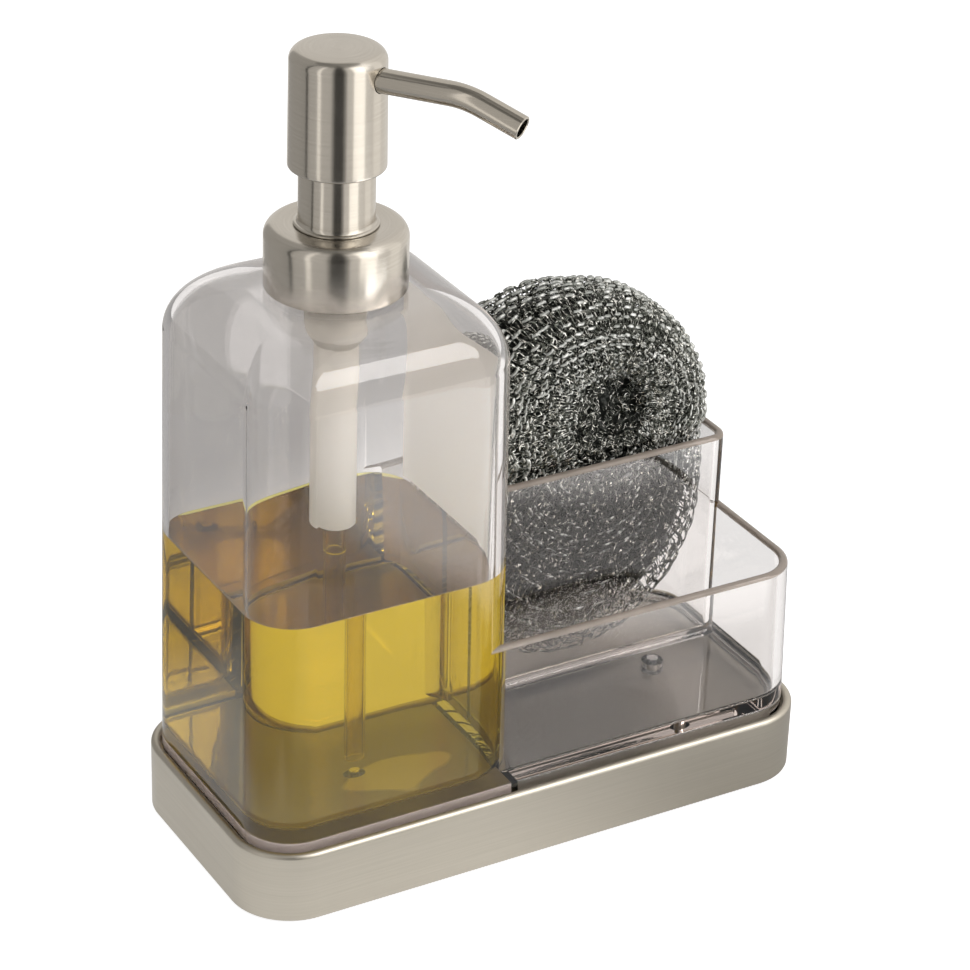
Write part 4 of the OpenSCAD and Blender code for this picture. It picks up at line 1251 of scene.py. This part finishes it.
def makeWorld():
    world = bpy.data.worlds.new("studio")
    bpy.context.scene.world = world
    world.use_nodes = True
    tree = world.node_tree
    do, rays = functools.partial(maths, tree), rayKinds(tree)
    seen = do("ADD", do("ADD", rays["Is Camera Ray"], rays["Is Glossy Ray"]), rays["Is Transmission Ray"])
    diffuse = studio["worldDiffuse"]
    strength = do("MULTIPLY_ADD", do("MINIMUM", seen, 1.0), 1 - diffuse, diffuse)
    # what stands inside the plastic gets back the light that the walls keep
    soft = do("GREATER_THAN", rays["Diffuse Depth"], 0.5)
    strength = do("MULTIPLY_ADD", do("MULTIPLY", soft, rays["Is Transmission Ray"]), studio["insideGain"], strength)
    # a long way through walls ends on a dimmer part of the room
    deep = do("GREATER_THAN", rays["Transmission Depth"], studio["deepAfter"])
    deep = do("MULTIPLY", deep, do("SUBTRACT", 1.0, soft))
    strength = do("MULTIPLY_ADD", deep, -studio["deepLoss"], strength)
    feed(tree, tree.nodes["Background"], {"Color": (1, 1, 1, 1), "Strength": strength})


def makeLamp(name, place, size, power):
    data = bpy.data.lights.new(name, "AREA")
    data.shape, data.size, data.energy = "DISK", size, power
    lamp = newObject(name, data)
    aim = Vector(studio["aim"]) - Vector(place)
    lamp.matrix_world = Matrix.Translation(place) @ aim.to_track_quat("-Z", "Y").to_matrix().to_4x4()
    lamp.visible_camera = False
    # a dimmer image of the lamp after a long way through soap and walls
    data.use_nodes = True
    tree = data.node_tree
    shallow = maths(tree, "LESS_THAN", rayKinds(tree)["Transmission Depth"], studio["lampAfter"])
    strength = maths(tree, "MULTIPLY_ADD", shallow, 1 - studio["lampDeep"], studio["lampDeep"])
    feed(tree, next(node for node in tree.nodes if node.type == "EMISSION"), {"Strength": strength})


def toneMaterial(name):
    material, tree, shader = newMaterial(name)
    tree.nodes.remove(shader)
    tone = get(tree, "ShaderNodeAttribute", output="Color", attribute_name="tone")
    through = maths(tree, "GREATER_THAN", rayKinds(tree)["Transmission Depth"], 0.5)
    glow = get(tree, "ShaderNodeEmission", {"Color": blend(tree, through, tone, studio["through"])})
    feed(tree, tree.nodes["Material Output"], {"Surface": glow})
    return material


def makeCards():
    s = studio
    r, high = s["cardR"] / mm, s["cardHeight"] / mm
    points, faces, tones = [], [], []
    for start, end, tone, low in cards:
        lid = s["lidTone"] + s["lidTone"] * tone          # tone of the ceiling above the card
        stops = turns(start, end, max(2, round((end - start) / s["cardStep"])))
        for a, b in zip(stops, stops[1:]):
            k = len(points)
            points += [(pumpX + r * math.cos(t), r * math.sin(t), z)
                       for t, z in ((a, low), (b, low), (b, high), (a, high))]
            points.append((pumpX, 0, high + s["lidRise"]))
            faces += [(k, k + 1, k + 2, k + 3), (k + 2, k + 3, k + 4)]
            tones += [(*(tone * v for v in s["cardTint"]), 1), (*(lid * v for v in s["lidTint"]), 1)]
    mesh = newMesh("cards", points, faces)
    layer = mesh.color_attributes.new("tone", "FLOAT_COLOR", "CORNER")
    for face, tone in zip(mesh.polygons, tones):
        for k in face.loop_indices:
            layer.data[k].color = tone
    mesh.materials.append(toneMaterial("cardTones"))
    # only mirrored rays see the ring
    ring = newObject("cards", mesh)
    ring.visible_camera = ring.visible_diffuse = ring.visible_transmission = False
    ring.visible_volume_scatter = ring.visible_shadow = False


makeFloor()
makeWorld()
for name, (place, size, power) in lamps.items():
    makeLamp(name, place, size, power)
makeCards()
print("studio made")
